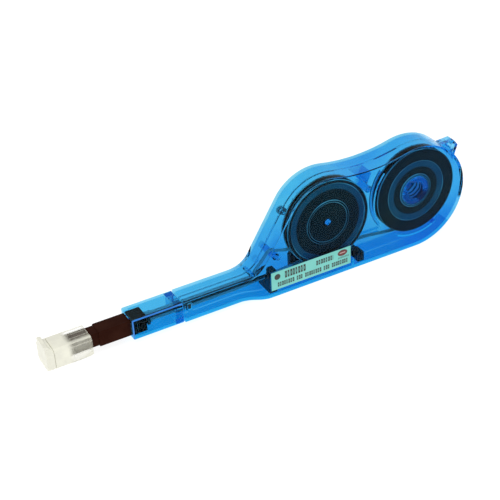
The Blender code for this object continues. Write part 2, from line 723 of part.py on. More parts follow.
def build_head(finish):
    """The bar that carries the tape, with a rounded nose and a thin stem for its spring."""
    front = head_front_x()
    rear = front + HEAD_LENGTH
    nose_r = HEAD_HIGH / 2
    nose = arc((front + nose_r, NOZZLE_Z), nose_r, math.pi / 2, 3 * math.pi / 2)
    outline = [*nose, (rear, NOZZLE_Z - nose_r), (rear, NOZZLE_Z + nose_r)]
    origin = (front, 0, NOZZLE_Z)
    head = flat("cleaning_head", [outline], -HEAD_THICK / 2, HEAD_THICK / 2, finish, origin)
    stem = square_bar("head_stem", rear - WALL, rear + HEAD_STEM_LENGTH, HEAD_STEM, HEAD_STEM)
    return join(head, stem)


def build_head_spring(finish):
    """The spring behind the head, in the nozzle's bore."""
    start = head_front_x() + HEAD_LENGTH + HEAD_STEM_LENGTH + GAP + WIRE_R
    end = NOZZLE_REAR_X - WIRE_R
    return coil("head_spring", (start, 0, NOZZLE_Z), (end, 0, NOZZLE_Z), HEAD_SPRING_R, HEAD_SPRING_TURNS, WIRE_R, finish)


def cap_section(inset):
    """The cap's cross-section as (y, z) points, with cut corners."""
    half = CAP_THICK / 2 - inset
    low, high = NOZZLE_Z - CAP_BELOW + inset, NOZZLE_Z + CAP_ABOVE - inset
    corner = CAP_CHAMFER if inset == 0 else CAP_CHAMFER / 2
    right = [(half - corner, low), (half, low + corner), (half, high - corner), (half - corner, high)]
    return right + [(-y, z) for y, z in reversed(right)]


def along_x(name, section, from_x, to_x, finish=None):
    """A bar with a given (y, z) section."""
    bm = bmesh.new()
    face = bm.faces.new([bm.verts.new((from_x, y, z)) for y, z in section])
    grown = bmesh.ops.extrude_face_region(bm, geom=[face])["geom"]
    end = [v for v in grown if isinstance(v, bmesh.types.BMVert)]
    bmesh.ops.translate(bm, vec=(to_x - from_x, 0, 0), verts=end)
    return add_object(name, mesh_from(name, bm), finish)


def cap_heel(rear_x):
    """What is cut away under the cap's rear end, as a wedge."""
    low_z = NOZZLE_Z - CAP_BELOW
    front, back = rear_x - 2 * CAP_HEEL_LONG, rear_x + CAP_HEEL_LONG
    below, above = low_z - CAP_HEEL_HIGH, low_z + 2 * CAP_HEEL_HIGH
    return flat("cap_heel", [[(front, below), (back, below), (back, above)]], -CAP_THICK, CAP_THICK)


def build_guide_cap(finish):
    """The pull-off cap: the neck's seat at the rear, a connector's socket at the front, a latch tongue."""
    rear_x = TIP_X + CAP_GRIP
    cap = along_x("guide_cap", cap_section(0.0), CAP_FRONT_X, rear_x, finish)
    seat = square_bar("cap_seat", TIP_X - GAP, rear_x + WALL, NECK_THICK + 2 * GAP, NECK_HIGH + 2 * GAP)
    socket = square_bar("cap_socket", CAP_FRONT_X - WALL, TIP_X, NECK_THICK + 2 * GAP, NECK_HIGH + 2 * GAP)
    top_z = NOZZLE_Z + CAP_ABOVE + WALL
    low_z = NOZZLE_Z + NECK_HIGH / 2
    slots = []
    for side in (-1, 1):
        near, far = sorted((side * TONGUE_HALF, side * (TONGUE_HALF + TONGUE_SLOT)))
        low = (rear_x - TONGUE_REACH, near, low_z)
        slots.append(box(f"tongue_slot_{side + 1}", low, (rear_x + WALL, far, top_z)))
    cut(cap, seat, socket, cap_heel(rear_x), *slots)
    return move_origin(cap, (rear_x, 0, NOZZLE_Z))


def build_cap_lid(finish):
    """The lid over the socket, with a thumb lip on top; it swings down about its lower edge."""
    front_x, rear_x = CAP_FRONT_X - GAP - LID_THICK, CAP_FRONT_X - GAP
    lid = along_x("cap_lid", cap_section(0.0), front_x, rear_x, finish)
    top_z = NOZZLE_Z + CAP_ABOVE
    lip_half = CAP_THICK / 2 - CAP_CHAMFER
    lip = [(front_x, top_z - WALL), (rear_x, top_z - WALL), (rear_x - LID_THICK / 3, top_z + LID_LIP / 3)]
    lip += [(front_x + LID_THICK / 2, top_z + LID_LIP), (front_x, top_z + LID_LIP)]
    join(lid, flat("lid_lip", [lip], -lip_half, lip_half))
    return move_origin(lid, lid_hinge())


def lid_hinge():
    """A point on the lid's hinge line, along its lower rear edge."""
    return (CAP_FRONT_X - GAP, 0, NOZZLE_Z - CAP_BELOW)


# Slide


def slide_floor():
    """The underside of the carriage."""
    return WALL + SLIDE_FLOOR_GAP


def build_push_rod(finish):
    """The thin rod from the nozzle to the carriage: a spring seat in front, a foot at the snap window."""
    front_x = NOZZLE_REAR_X + GAP
    rear_x = FRONT_REEL_X - SLIDE_FRONT - GAP
    low_z = ROD_TOP - ROD_SIDE
    rod = box("push_rod", (front_x, ROD_NEAR_Y, low_z), (rear_x, ROD_NEAR_Y + ROD_SIDE, ROD_TOP), finish)
    foot_x = FRONT_REEL_X - ROD_FOOT_PLACE
    foot = box(
        "rod_foot",
        (foot_x - ROD_FOOT_LONG, ROD_NEAR_Y, ROD_FOOT_BOTTOM),
        (foot_x, ROD_NEAR_Y + ROD_SIDE, ROD_TOP - ROD_SIDE / 2),
    )
    arm_half = HEAD_STEM / 2
    upright = box(
        "rod_upright",
        (front_x, ROD_NEAR_Y, NOZZLE_Z - arm_half),
        (front_x + WALL, ROD_NEAR_Y + ROD_SIDE, ROD_TOP - ROD_SIDE / 2),
    )
    arm = box(
        "spring_seat",
        (front_x, ROD_NEAR_Y + ROD_SIDE / 2, NOZZLE_Z - arm_half),
        (front_x + WALL, arm_half, NOZZLE_Z + arm_half),
    )
    return move_origin(join(rod, foot, upright, arm), (front_x, 0, NOZZLE_Z))


def build_carriage(finish):
    """The slide under the front reel: a bar, the rack, the front tower and the rear hook."""
    front_x, rear_x = FRONT_REEL_X - SLIDE_FRONT, FRONT_REEL_X + SLIDE_REAR
    floor = slide_floor()
    near_y = GAP - CASE_INNER_Y
    carriage = box("carriage", (front_x, TOWER_FAR_Y, floor), (rear_x, GEAR_FAR_Y, SLIDE_BAR_TOP), finish)
    rack = flat("rack", [rack_outline(floor + WALL)], GEAR_NEAR_Y, GEAR_FAR_Y)
    tower = box("tower", (front_x, near_y, floor), (front_x + TOWER_LONG, TOWER_FAR_Y + WALL, TOWER_TOP))
    hook_x = rear_x - HOOK_LONG
    middle = (hook_x + HOOK_LONG / 2, HOOK_TOP - HOOK_LONG / 2)
    hook = flat(
        "hook",
        [
            [(hook_x, floor), (rear_x, floor)] + arc(middle, HOOK_LONG / 2, 0, math.pi),
            circle(middle, HOOK_LONG / 4, 16),
        ],
        near_y,
        TOWER_FAR_Y + WALL,
    )
    join(carriage, rack, tower, hook)
    above_bar = (front_x - WALL, TOWER_FAR_Y, SLIDE_BAR_TOP)
    path = box("tape_path", above_bar, (rear_x + WALL, GEAR_NEAR_Y, TOWER_TOP + WALL))
    return move_origin(cut(carriage, path), (front_x, 0, NOZZLE_Z))


def build_return_spring(finish):
    """The long spring between the carriage's tower and the casing's stop."""
    reach = RETURN_SPRING_R + WIRE_R
    z = slide_floor() + reach
    start = (FRONT_REEL_X - SLIDE_FRONT + TOWER_LONG + GAP + WIRE_R, RETURN_SPRING_Y, z)
    end = (FRONT_REEL_X + SPRING_STOP - GAP - WIRE_R, RETURN_SPRING_Y, z)
    return coil("return_spring", start, end, RETURN_SPRING_R, RETURN_SPRING_TURNS, WIRE_R, finish)


# Drive


def drive_pawl_pin():
    """Where the drive pawl turns, on the gear."""
    return polar((FRONT_REEL_X, FRONT_REEL_Z), PAWL_PIN_PLACE, DRIVE_PAWL_AT)


def holding_pawl_pin():
    """Where the holding pawl turns, on the casing."""
    return polar((FRONT_REEL_X, FRONT_REEL_Z), REEL_R - HOLDING_PAWL_INSIDE, HOLDING_PAWL_AT)


def build_drive_gear(finish):
    """The gear in mesh with the rack, with a pin for the drive pawl."""
    centre = (FRONT_REEL_X, FRONT_REEL_Z)
    bore = circle(centre, TAKEUP_SLEEVE_R + GAP)
    outline = gear_outline(centre, GEAR_TEETH, GEAR_R)
    gear = flat("drive_gear", [outline, bore], GEAR_NEAR_Y, GEAR_FAR_Y, finish, FRONT_AXIS)
    pin = post("gear_pin", drive_pawl_pin(), PAWL_PIN_R, GEAR_FAR_Y - WALL / 2, RATCHET_FAR_Y)
    return join(gear, pin)


def build_ratchet(finish):
    """The ratchet wheel on the front reel's hub."""
    centre = (FRONT_REEL_X, FRONT_REEL_Z)
    bore = circle(centre, TAKEUP_SLEEVE_R - RATCHET_BORE_STEP + GAP)
    return flat(
        "takeup_ratchet", [ratchet_outline(centre), bore], RATCHET_NEAR_Y, RATCHET_FAR_Y, finish, FRONT_AXIS
    )


def build_pawl(name, pin, finish):
    """A pawl whose nose stops just short of the ratchet's teeth."""
    centre = (FRONT_REEL_X, FRONT_REEL_Z)
    place = math.atan2(pin[1] - centre[1], pin[0] - centre[0])
    nose = polar(centre, RATCHET_TIP_R + GAP, place + PAWL_LEAN)
    back = polar(centre, RATCHET_TIP_R + GAP + PAWL_NOSE, place + PAWL_LEAN)
    toward = math.atan2(nose[1] - pin[1], nose[0] - pin[0])
    outline = arc(pin, PAWL_EYE_R, toward + math.pi / 2, toward + 3 * math.pi / 2)
    outline += [back, nose]
    hole = circle(pin, PAWL_PIN_R + GAP, 16)
    origin = (pin[0], 0, pin[1])
    return flat(name, [outline, hole], RATCHET_NEAR_Y, RATCHET_FAR_Y, finish, origin)


# Reels and tape


def build_takeup_reel(finish):
    """The front reel's hub and far flange; its sleeve runs through the gear to the ratchet."""
    bore = TAKEUP_POST_R + GAP
    seat = TAKEUP_SLEEVE_R - RATCHET_BORE_STEP
    profile = [(bore, TAPE_NEAR_Y), (TAKEUP_HUB_R, TAPE_NEAR_Y), (TAKEUP_HUB_R, REEL_FAR_Y - FLANGE_THICK)]
    profile += [(REEL_R, REEL_FAR_Y - FLANGE_THICK), (REEL_R, REEL_FAR_Y), (TAKEUP_SLEEVE_R, REEL_FAR_Y)]
    profile += [(TAKEUP_SLEEVE_R, GEAR_FAR_Y), (seat, GEAR_FAR_Y), (seat, RATCHET_FAR_Y)]
    profile += [(bore, RATCHET_FAR_Y)]
    return turned("takeup_reel", profile, FRONT_AXIS, finish)


def build_takeup_flange(finish):
    """The front reel's near flange, with a bead ring and a raised rim."""
    low = REEL_NEAR_Y + FLANGE_THICK / 3
    top = REEL_NEAR_Y
    half = BEAD_WIDE / 2
    profile = [(TAKEUP_POST_R + GAP, low), (TAKEUP_BEAD_R - half, low), (TAKEUP_BEAD_R - half / 2, top)]
    profile += [(TAKEUP_BEAD_R + half / 2, top), (TAKEUP_BEAD_R + half, low), (TAKEUP_RIM_R, low)]
    profile += [(REEL_R - BEAD_WIDE, top), (REEL_R, top), (REEL_R, REEL_NEAR_Y + FLANGE_THICK)]
    profile += [(TAKEUP_POST_R + GAP, REEL_NEAR_Y + FLANGE_THICK)]
    return turned("takeup_flange", profile, FRONT_AXIS, finish)


def build_supply_reel(finish):
    """The rear reel's hub and far flange."""
    bore = SUPPLY_POST_R + GAP
    profile = [(bore, TAPE_NEAR_Y), (SUPPLY_HUB_R, TAPE_NEAR_Y), (SUPPLY_HUB_R, REEL_FAR_Y - FLANGE_THICK)]
    profile += [(REEL_R, REEL_FAR_Y - FLANGE_THICK), (REEL_R, REEL_FAR_Y), (bore, REEL_FAR_Y)]
    return turned("supply_reel", profile, REAR_AXIS, finish)


def build_supply_flange(finish):
    """The rear reel's near flange, with its stepped dish."""
    top = REEL_NEAR_Y
    low = REEL_NEAR_Y + FLANGE_THICK / 3
    bore = SUPPLY_POST_R + GAP
    profile = [(bore, low), (SUPPLY_DISH_R, low), (SUPPLY_BEAD_R - BEAD_WIDE / 2, low)]
    profile += [(SUPPLY_BEAD_R, top), (REEL_R, top), (REEL_R, REEL_NEAR_Y + FLANGE_THICK)]
    profile += [(bore, REEL_NEAR_Y + FLANGE_THICK)]
    return turned("supply_flange", profile, REAR_AXIS, finish)


def build_roll(name, hub_r, roll_r, axis, finish):
    """Wound tape between a reel's flanges."""
    return turned(name, ring(hub_r + GAP, roll_r, TAPE_NEAR_Y, TAPE_FAR_Y), axis, finish)


def build_brake_spring(finish):
    """The light spring that presses on the rear reel from the far wall."""
    near_y = REEL_FAR_Y + GAP + BRAKE_WIRE_R
    far_y = CASE_INNER_Y - GAP - BRAKE_WIRE_R
    start = (REAR_REEL_X, near_y, REAR_REEL_Z)
    end = (REAR_REEL_X, far_y, REAR_REEL_Z)
    return coil(
        "supply_brake_spring", start, end, BRAKE_SPRING_R, BRAKE_SPRING_TURNS, BRAKE_WIRE_R, finish
    )


def ribbon(name, path, finish, origin=None):
    """Tape along a path of (x, y, z) points, its width always along Y."""
    bm = bmesh.new()
    rails = [
        [bm.verts.new((x, y + side * TAPE_WIDE / 2, z)) for x, y, z in path] for side in (-1, 1)
    ]
    for i in range(len(path) - 1):
        bm.faces.new((rails[0][i], rails[0][i + 1], rails[1][i + 1], rails[1][i]))
    mesh = bpy.data.meshes.new(name)
    bm.to_mesh(mesh)
    bm.free()
    made = add_object(name, mesh, finish)
    thick = made.modifiers.new("Thickness", "SOLIDIFY")
    thick.thickness = TAPE_THICK
    thick.offset = 0.0
    return move_origin(made, origin)


def eased(amount):
    """A smooth step from 0 to 1."""
    amount = min(1.0, max(0.0, amount))
    return amount * amount * (3 - 2 * amount)


def sideways(route, from_x, to_x, to_y):
    """Route points of (x, z) given a Y that eases from 0 to to_y."""
    return [(x, to_y * eased((x - from_x) / (to_x - from_x)), z) for x, z in route]


def straight(start, end):
    """Evenly spaced points between two (x, z) points."""
    count = max(1, math.ceil(math.dist(start, end) / TAPE_STEP))
    pairs = [(i / count, i / count) for i in range(count + 1)]
    return [(start[0] + (end[0] - start[0]) * a, start[1] + (end[1] - start[1]) * b) for a, b in pairs]


def touch_angle(point, centre, radius, side):
    """The angle on a circle where a line from a point touches it; side is 1 or -1."""
    away = math.atan2(point[1] - centre[1], point[0] - centre[0])
    return away + side * math.acos(radius / math.dist(point, centre))


def crossing(first, second, radii):
    """The heading of the line that passes between two circles; radii is their sum, with a sign."""
    heading = math.atan2(second[1] - first[1], second[0] - first[0])
    return heading + math.asin(radii / math.dist(first, second))


def build_supply_run(finish):
    """Clean tape from the rear roll, behind the front reel, to the nozzle's lower side."""
    centre = (REAR_REEL_X, REAR_REEL_Z)
    radius = SUPPLY_ROLL_R + GAP + TAPE_THICK / 2
    bend = (FRONT_REEL_X - STEP_FROM, NOZZLE_Z - TAPE_RUN_SPREAD)
    touch = touch_angle(bend, centre, radius, 1)
    route = straight((NOZZLE_REAR_X - SLIDE_ROOM, bend[1]), bend)
    route += straight(bend, polar(centre, radius, touch))[1:]
    route += arc(centre, radius, touch, touch + WRAP_SHOWN)[1:]
    path = sideways(route, FRONT_REEL_X + SLIDE_REAR, REAR_REEL_X - SUPPLY_HUB_R, TAPE_REEL_Y)
    return ribbon("tape_supply_run", path, finish)


def build_return_run(finish):
    """Used tape from the nozzle's upper side, round the two guide posts, to the front roll."""
    low, high = low_post_place(), high_post_place()
    roll = (FRONT_REEL_X, FRONT_REEL_Z)
    off_surface = GAP + TAPE_THICK / 2
    low_r, high_r, roll_r = LOW_POST_R + off_surface, HIGH_POST_R + off_surface, TAKEUP_ROLL_R + off_surface
    climb = crossing(low, high, low_r + high_r)
    fall = crossing(high, roll, -high_r - roll_r)
    quarter = math.pi / 2
    route = straight((NOZZLE_REAR_X - SLIDE_ROOM, low[1] - low_r), (low[0], low[1] - low_r))
    route += arc(low, low_r, -quarter, climb - quarter)[1:]
    route += straight(route[-1], polar(high, high_r, climb + quarter))[1:]
    route += arc(high, high_r, climb + quarter, fall + quarter)[1:]
    route += straight(route[-1], polar(roll, roll_r, fall - quarter))[1:]
    route += arc(roll, roll_r, fall - quarter, fall - quarter + WRAP_SHOWN)[1:]
    path = sideways(route, low[0], high[0] + 2 * HIGH_POST_R, TAPE_REEL_Y)
    return ribbon("tape_return_run", path, finish)


def build_head_loop(finish):
    """Tape round the head's nose, its legs outside the two fixed runs."""
    front = head_front_x()
    nose_r = HEAD_HIGH / 2 + GAP + TAPE_THICK / 2
    nose = (front + HEAD_HIGH / 2, NOZZLE_Z)
    rear_x = NOZZLE_REAR_X + SLIDE_ROOM / 2
    widen_x = front + HEAD_LENGTH
    turn = arc(nose, nose_r, math.pi / 2, 3 * math.pi / 2)
    upper = [(rear_x, NOZZLE_Z + LOOP_SPREAD), (widen_x, NOZZLE_Z + nose_r)]
    lower = [(widen_x, NOZZLE_Z - nose_r), (rear_x, NOZZLE_Z - LOOP_SPREAD)]
    path = [(x, 0.0, z) for x, z in upper + turn + lower]
    return ribbon("tape_head_loop", path, finish, (front, 0, NOZZLE_Z))


def build_all():
    """Every piece, each with its finish."""
    start_scene()
    casing = {"roughness": 0.08, "colour": (0.05, 0.35, 0.85)}
    reel_black = {"roughness": 0.35, "colour": (0.012, 0.018, 0.03)}
    dark = {"roughness": 0.4, "colour": (0.02, 0.012, 0.01)}
    white = {"roughness": 0.8, "colour": (0.85, 0.86, 0.84)}
    steel = {"roughness": 0.3, "colour": (0.55, 0.55, 0.57), "metallic": 1.0}
    pale = {"roughness": 0.5, "colour": (0.8, 0.82, 0.8)}
    build_near_shell(material("near_shell", **casing))
    build_far_shell(material("far_shell", **casing))
    build_front_sleeve(material("front_sleeve", **casing))
    build_label(material("label", (0.18, 0.55, 0.52), 0.5))
    build_nozzle(material("nozzle", (0.03, 0.008, 0.004), 0.4))
    build_guide_cap(material("guide_cap", (0.8, 0.8, 0.72), 0.45))
    build_cap_lid(material("cap_lid", (0.82, 0.83, 0.72), 0.45))
    build_push_rod(material("push_rod", **dark))
    build_carriage(material("carriage", **dark))
    build_return_spring(material("return_spring", **steel))
    build_head(material("cleaning_head", **pale))
    build_head_spring(material("head_spring", **steel))
    build_drive_gear(material("drive_gear", **pale))
    build_ratchet(material("takeup_ratchet", **pale))
    build_pawl("drive_pawl", drive_pawl_pin(), material("drive_pawl", **dark))
    build_pawl("holding_pawl", holding_pawl_pin(), material("holding_pawl", **dark))
    build_takeup_reel(material("takeup_reel", **reel_black))
    build_takeup_flange(material("takeup_flange", **reel_black))
    build_supply_reel(material("supply_reel", **reel_black))
    build_supply_flange(material("supply_flange", **reel_black))
    build_roll("takeup_tape_roll", TAKEUP_HUB_R, TAKEUP_ROLL_R, FRONT_AXIS, material("takeup_tape_roll", **white))
    build_roll("supply_tape_roll", SUPPLY_HUB_R, SUPPLY_ROLL_R, REAR_AXIS, material("supply_tape_roll", **white))
    build_brake_spring(material("supply_brake_spring", **steel))
    build_supply_run(material("tape_supply_run", **white))
    build_return_run(material("tape_return_run", **white))
    build_head_loop(material("tape_head_loop", **white))


build_all()
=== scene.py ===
"""The finished look of the connector cleaner.

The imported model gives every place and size. Each sub-assembly is a class that models its own pieces and gives
them their finish, and each finish is a small frozen class. Lengths are in metres and angles in radians.
"""

import logging
import math
from dataclasses import dataclass, field
from enum import IntEnum
from typing import Optional, Sequence, Union

import bmesh
import bpy
from bpy.types import Material, Node, NodeSocket, Object
from mathutils import Matrix, Vector


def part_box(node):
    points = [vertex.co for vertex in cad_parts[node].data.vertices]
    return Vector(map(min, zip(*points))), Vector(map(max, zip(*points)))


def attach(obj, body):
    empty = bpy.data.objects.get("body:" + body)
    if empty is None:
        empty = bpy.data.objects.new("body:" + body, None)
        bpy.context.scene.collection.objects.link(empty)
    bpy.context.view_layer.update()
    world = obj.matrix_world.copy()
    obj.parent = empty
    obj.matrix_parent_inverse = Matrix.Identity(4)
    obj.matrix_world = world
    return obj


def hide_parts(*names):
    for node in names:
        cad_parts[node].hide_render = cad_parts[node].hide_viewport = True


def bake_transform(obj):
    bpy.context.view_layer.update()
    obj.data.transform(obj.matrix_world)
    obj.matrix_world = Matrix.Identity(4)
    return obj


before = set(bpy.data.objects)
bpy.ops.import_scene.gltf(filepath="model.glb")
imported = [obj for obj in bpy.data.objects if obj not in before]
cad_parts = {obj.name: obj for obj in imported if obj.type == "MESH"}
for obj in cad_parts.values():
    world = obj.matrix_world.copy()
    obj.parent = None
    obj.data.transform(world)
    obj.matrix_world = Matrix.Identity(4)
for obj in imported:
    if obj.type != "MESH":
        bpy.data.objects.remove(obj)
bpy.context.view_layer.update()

LOG = logging.getLogger("cleaner")
MM = 0.001
Colour = tuple[float, float, float]
Number = Union[float, "Wire"]
Paint = Union[Colour, NodeSocket]
WHITE: Colour = (1.0, 1.0, 1.0)


# Shader tools


class Wire:
    """A number that varies over a surface, with arithmetic that adds its Math nodes."""

    def __init__(self, shader: "Shader", socket: NodeSocket) -> None:
        """Wrap a socket.

        Args:
            shader: The material that the socket belongs to.
            socket: An output that carries one number.
        """
        self.shader = shader
        self.socket = socket

    def _math(self, operation: str, first: Number, second: Number = 0.0) -> "Wire":
        """Add one Math node.

        Args:
            operation: The Math node's operation.
            first: Its first value.
            second: Its second value.

        Returns:
            The node's result.
        """
        node = self.shader.node("ShaderNodeMath", {"operation": operation}, {0: first, 1: second})
        return Wire(self.shader, node.outputs[0])

    def __add__(self, other: Number) -> "Wire":
        """Sum."""
        return self._math("ADD", self, other)

    __radd__ = __add__

    def __sub__(self, other: Number) -> "Wire":
        """Difference."""
        return self._math("SUBTRACT", self, other)

    def __rsub__(self, other: Number) -> "Wire":
        """Difference, with this number taken away."""
        return self._math("SUBTRACT", other, self)

    def __mul__(self, other: Number) -> "Wire":
        """Product."""
        return self._math("MULTIPLY", self, other)

    __rmul__ = __mul__

    def __gt__(self, other: Number) -> "Wire":
        """1 where this is more than the other, and otherwise 0."""
        return self._math("GREATER_THAN", self, other)

    def __lt__(self, other: Number) -> "Wire":
        """1 where this is less than the other, and otherwise 0."""
        return self._math("LESS_THAN", self, other)

    def __abs__(self) -> "Wire":
        """Size without sign."""
        return self._math("ABSOLUTE", self)

    def least(self, other: Number) -> "Wire":
        """The lesser of two."""
        return self._math("MINIMUM", self, other)

    def most(self, other: Number) -> "Wire":
        """The greater of two."""
        return self._math("MAXIMUM", self, other)

    def root(self) -> "Wire":
        """Square root."""
        return self._math("SQRT", self)

    def repeat(self, length: Number) -> "Wire":
        """What is left after whole lengths are taken away, from 0 to the length."""
        return self._math("FLOORED_MODULO", self, length)

    def steps(self) -> "Wire":
        """The whole number below."""
        return self._math("FLOOR", self)

    def between(self, low: float, high: float) -> "Wire":
        """1 from low to high, and otherwise 0."""
        return (self > low) * (self < high)

    def ramp(self, low: float, high: float) -> "Wire":
        """Climb smoothly from 0 to 1.

        Args:
            low: Where the climb starts.
            high: Where it ends.

        Returns:
            The climb.
        """
        node = self.shader.node(
            "ShaderNodeMapRange",
            {"interpolation_type": "SMOOTHSTEP", "clamp": True},
            {"Value": self, "From Min": low, "From Max": high},
        )
        return Wire(self.shader, node.outputs["Result"])


class Shader:
    """A material in the making, with one method that adds any node."""

    # A Mix node's sockets for colours share their names with those for numbers, so they go by place.
    MIX_AMOUNT = 0
    MIX_FIRST = 6
    MIX_SECOND = 7
    MIX_RESULT = 2

    def __init__(self, name: str) -> None:
        """Start an empty material.

        Args:
            name: The material's name.
        """
        self.material = bpy.data.materials.new(name)
        self.material.use_nodes = True
        self.tree = self.material.node_tree
        self.tree.nodes.clear()
        self.result = self.tree.nodes.new("ShaderNodeOutputMaterial")

    def node(self, kind: str, settings: Optional[dict] = None, sockets: Optional[dict] = None) -> Node:
        """Add a node.

        Args:
            kind: The node's type.
            settings: Its properties, set first.
            sockets: The values or links of its inputs, by name or number.

        Returns:
            The new node.
        """
        made = self.tree.nodes.new(kind)
        for name, value in (settings or {}).items():
            setattr(made, name, value)
        for key, value in (sockets or {}).items():
            socket = made.inputs[key]
            if isinstance(value, Wire):
                self.tree.links.new(value.socket, socket)
            elif isinstance(value, NodeSocket):
                self.tree.links.new(value, socket)
            elif socket.type == "RGBA" and len(value) == 3:
                socket.default_value = (*value, 1.0)
            else:
                socket.default_value = value
        return made

    def place(self) -> tuple[Wire, Wire, Wire]:
        """The X, Y and Z of a point on the object, in metres."""
        split = self.node("ShaderNodeSeparateXYZ", None, {0: self.coordinates()})
        return tuple(Wire(self, split.outputs[i]) for i in range(3))

    def coordinates(self) -> NodeSocket:
        """The Object coordinates."""
        return self.node("ShaderNodeTexCoord").outputs["Object"]

    def radius(self, axis: Vector) -> Wire:
        """How far a point is from a line along Y.

        Args:
            axis: A point on the line.

        Returns:
            The distance in metres.
        """
        x, _, z = self.place()
        out_x, out_z = x - axis.x, z - axis.z
        return (out_x * out_x + out_z * out_z).root()

    def rings(self, radius: Wire, places: Sequence[float], half: float) -> Wire:
        """Soft lines at given radii.

        Args:
            radius: How far a point is from the middle.
            places: The lines' radii.
            half: How far a line fades to either side.

        Returns:
            1 in the middle of each line.
        """
        return sum(1.0 - abs(radius - place).ramp(0.0, half) for place in places)

    def noise(self, scale: float, detail: float, stretch: Sequence[float] = (1.0, 1.0, 1.0)) -> Wire:
        """Cloudy variation from 0 to 1.

        Args:
            scale: How many clouds there are in a metre.
            detail: How many finer layers it has.
            stretch: Scale factors along X, Y and Z.

        Returns:
            The noise.
        """
        mapping = self.node("ShaderNodeMapping", None, {"Vector": self.coordinates(), "Scale": stretch})
        made = self.node(
            "ShaderNodeTexNoise",
            None,
            {"Vector": mapping.outputs[0], "Scale": scale, "Detail": detail},
        )
        return Wire(self, made.outputs[0])

    def blend(self, amount: Number, first: Paint, second: Paint) -> NodeSocket:
        """Mix two colours.

        Args:
            amount: 0 for the first colour, 1 for the second.
            first: A colour.
            second: Another colour.

        Returns:
            The mixed colour.
        """
        made = self.node(
            "ShaderNodeMix",
            {"data_type": "RGBA", "clamp_factor": True},
            {self.MIX_AMOUNT: amount, self.MIX_FIRST: first, self.MIX_SECOND: second},
        )
        return made.outputs[self.MIX_RESULT]

    def choose(self, test: "Wire", yes: "Wire", no: "Wire") -> "Wire":
        """One value where a test holds and another where it doesn't.

        Args:
            test: 1 where it holds, 0 elsewhere.
            yes: The value where it holds.
            no: The value elsewhere.

        Returns:
            The chosen value.
        """
        return no + (yes - no) * test

    def bump(self, height: Wire, depth: float, strength: float) -> NodeSocket:
        """A bumped normal.

        Args:
            height: The height, from 0 to 1.
            depth: How deep 1 is, in metres.
            strength: How strong the bump is.

        Returns:
            The normal.
        """
        made = self.node("ShaderNodeBump", None, {"Strength": strength, "Distance": depth, "Height": height})
        return made.outputs[0]

    def principled(self, sockets: dict) -> NodeSocket:
        """A Principled shader with the given inputs."""
        return self.node("ShaderNodeBsdfPrincipled", None, sockets).outputs[0]

    def finish(self, surface: NodeSocket, volume: Optional[NodeSocket] = None) -> Material:
        """Close the material.

        Args:
            surface: The surface shader.
            volume: The volume shader, if it has one.

        Returns:
            The material.
        """
        self.tree.links.new(surface, self.result.inputs["Surface"])
        if volume is not None:
            self.tree.links.new(volume, self.result.inputs["Volume"])
        return self.material


# Finishes


@dataclass(frozen=True)
class ClearBlue:
    """See-through blue moulded plastic, deeper blue over the rear post and paler over the handle, with painted
    shade that makes it a deeper blue low down at the rear and painted highlights in pale rings round the post.
    """

    post: Vector
    name: str = "clear_blue"
    roughness: float = 0.0
    ior: float = 1.2
    sheen: Colour = (0.25, 0.25, 0.25)
    wall_tint: Colour = (0.17, 0.56, 0.84)
    wall_tint_light: Colour = (0.25, 0.64, 0.88)
    pale_tint: Colour = (0.34, 0.74, 0.86)
    painted_shade_tint: Colour = (0.1, 0.48, 0.84)
    handle_to: tuple[float, float] = (-16.0 * MM, 6.0 * MM)
    deep_from: tuple[float, float] = (-8.0 * MM, 14.0 * MM)
    deep_below: tuple[float, float] = (7.0 * MM, 24.0 * MM)
    deep_most: float = 1.15
    deep_fade: float = 0.5
    handle_pale: float = 0.5
    cloud_scale: float = 45.0
    cloud_range: tuple[float, float] = (0.3, 0.7)
    streak_scale: float = 26.0
    streak_range: tuple[float, float] = (0.42, 0.66)
    post_round: float = 7.0 * MM
    post_tint: Colour = (0.1, 0.36, 0.62)
    post_rings: tuple[float, ...] = (3.5 * MM, 4.9 * MM, 6.9 * MM)
    ring_half: float = 0.3 * MM
    ring_highlight: Colour = (0.5, 0.85, 0.95)
    tint: Colour = (0.0, 0.725, 0.9425)
    density: float = 170.0
    grain: float = 700.0
    grain_depth: float = 0.02 * MM
    grain_strength: float = 0.3

    def make(self) -> Material:
        """Build the material.

        Returns:
            The material.
        """
        shader = Shader(self.name)
        ripple = shader.noise(self.grain, 3.0)
        cloud = shader.noise(self.cloud_scale, 3.0)
        streak = shader.noise(self.streak_scale, 4.0).ramp(*self.streak_range)
        x, _, z = shader.place()
        # Painted shade: the walls turn a deeper blue low down at the rear of the body.
        behind = x.ramp(*self.deep_from)
        low = behind * (1.0 - z.ramp(*self.deep_below))
        upper = shader.blend(cloud.ramp(*self.cloud_range), self.wall_tint, self.wall_tint_light)
        handle = 1.0 - x.ramp(*self.handle_to)
        paleness = (streak * behind).most(self.handle_pale * handle)
        pale = shader.blend(paleness, upper, self.pale_tint)
        walls = shader.blend(low * (self.deep_most - self.deep_fade * streak), pale, self.painted_shade_tint)
        radius = shader.radius(self.post)
        # Painted highlights: pale rings round the rear post, broken up by the clouds.
        rings = shader.rings(radius, self.post_rings, self.ring_half)
        post = shader.blend(radius < self.post_round, walls, self.post_tint)
        surface = shader.principled(
            {
                "Base Color": shader.blend(rings.least(1.0) * cloud, post, self.ring_highlight),
                "Roughness": self.roughness,
                "IOR": self.ior,
                "Transmission Weight": 1.0,
                "Specular Tint": self.sheen,
                "Normal": shader.bump(ripple, self.grain_depth, self.grain_strength),
            }
        )
        volume = shader.node(
            "ShaderNodeVolumeAbsorption", None, {"Color": self.tint, "Density": self.density}
        )
        return shader.finish(surface, volume.outputs[0])


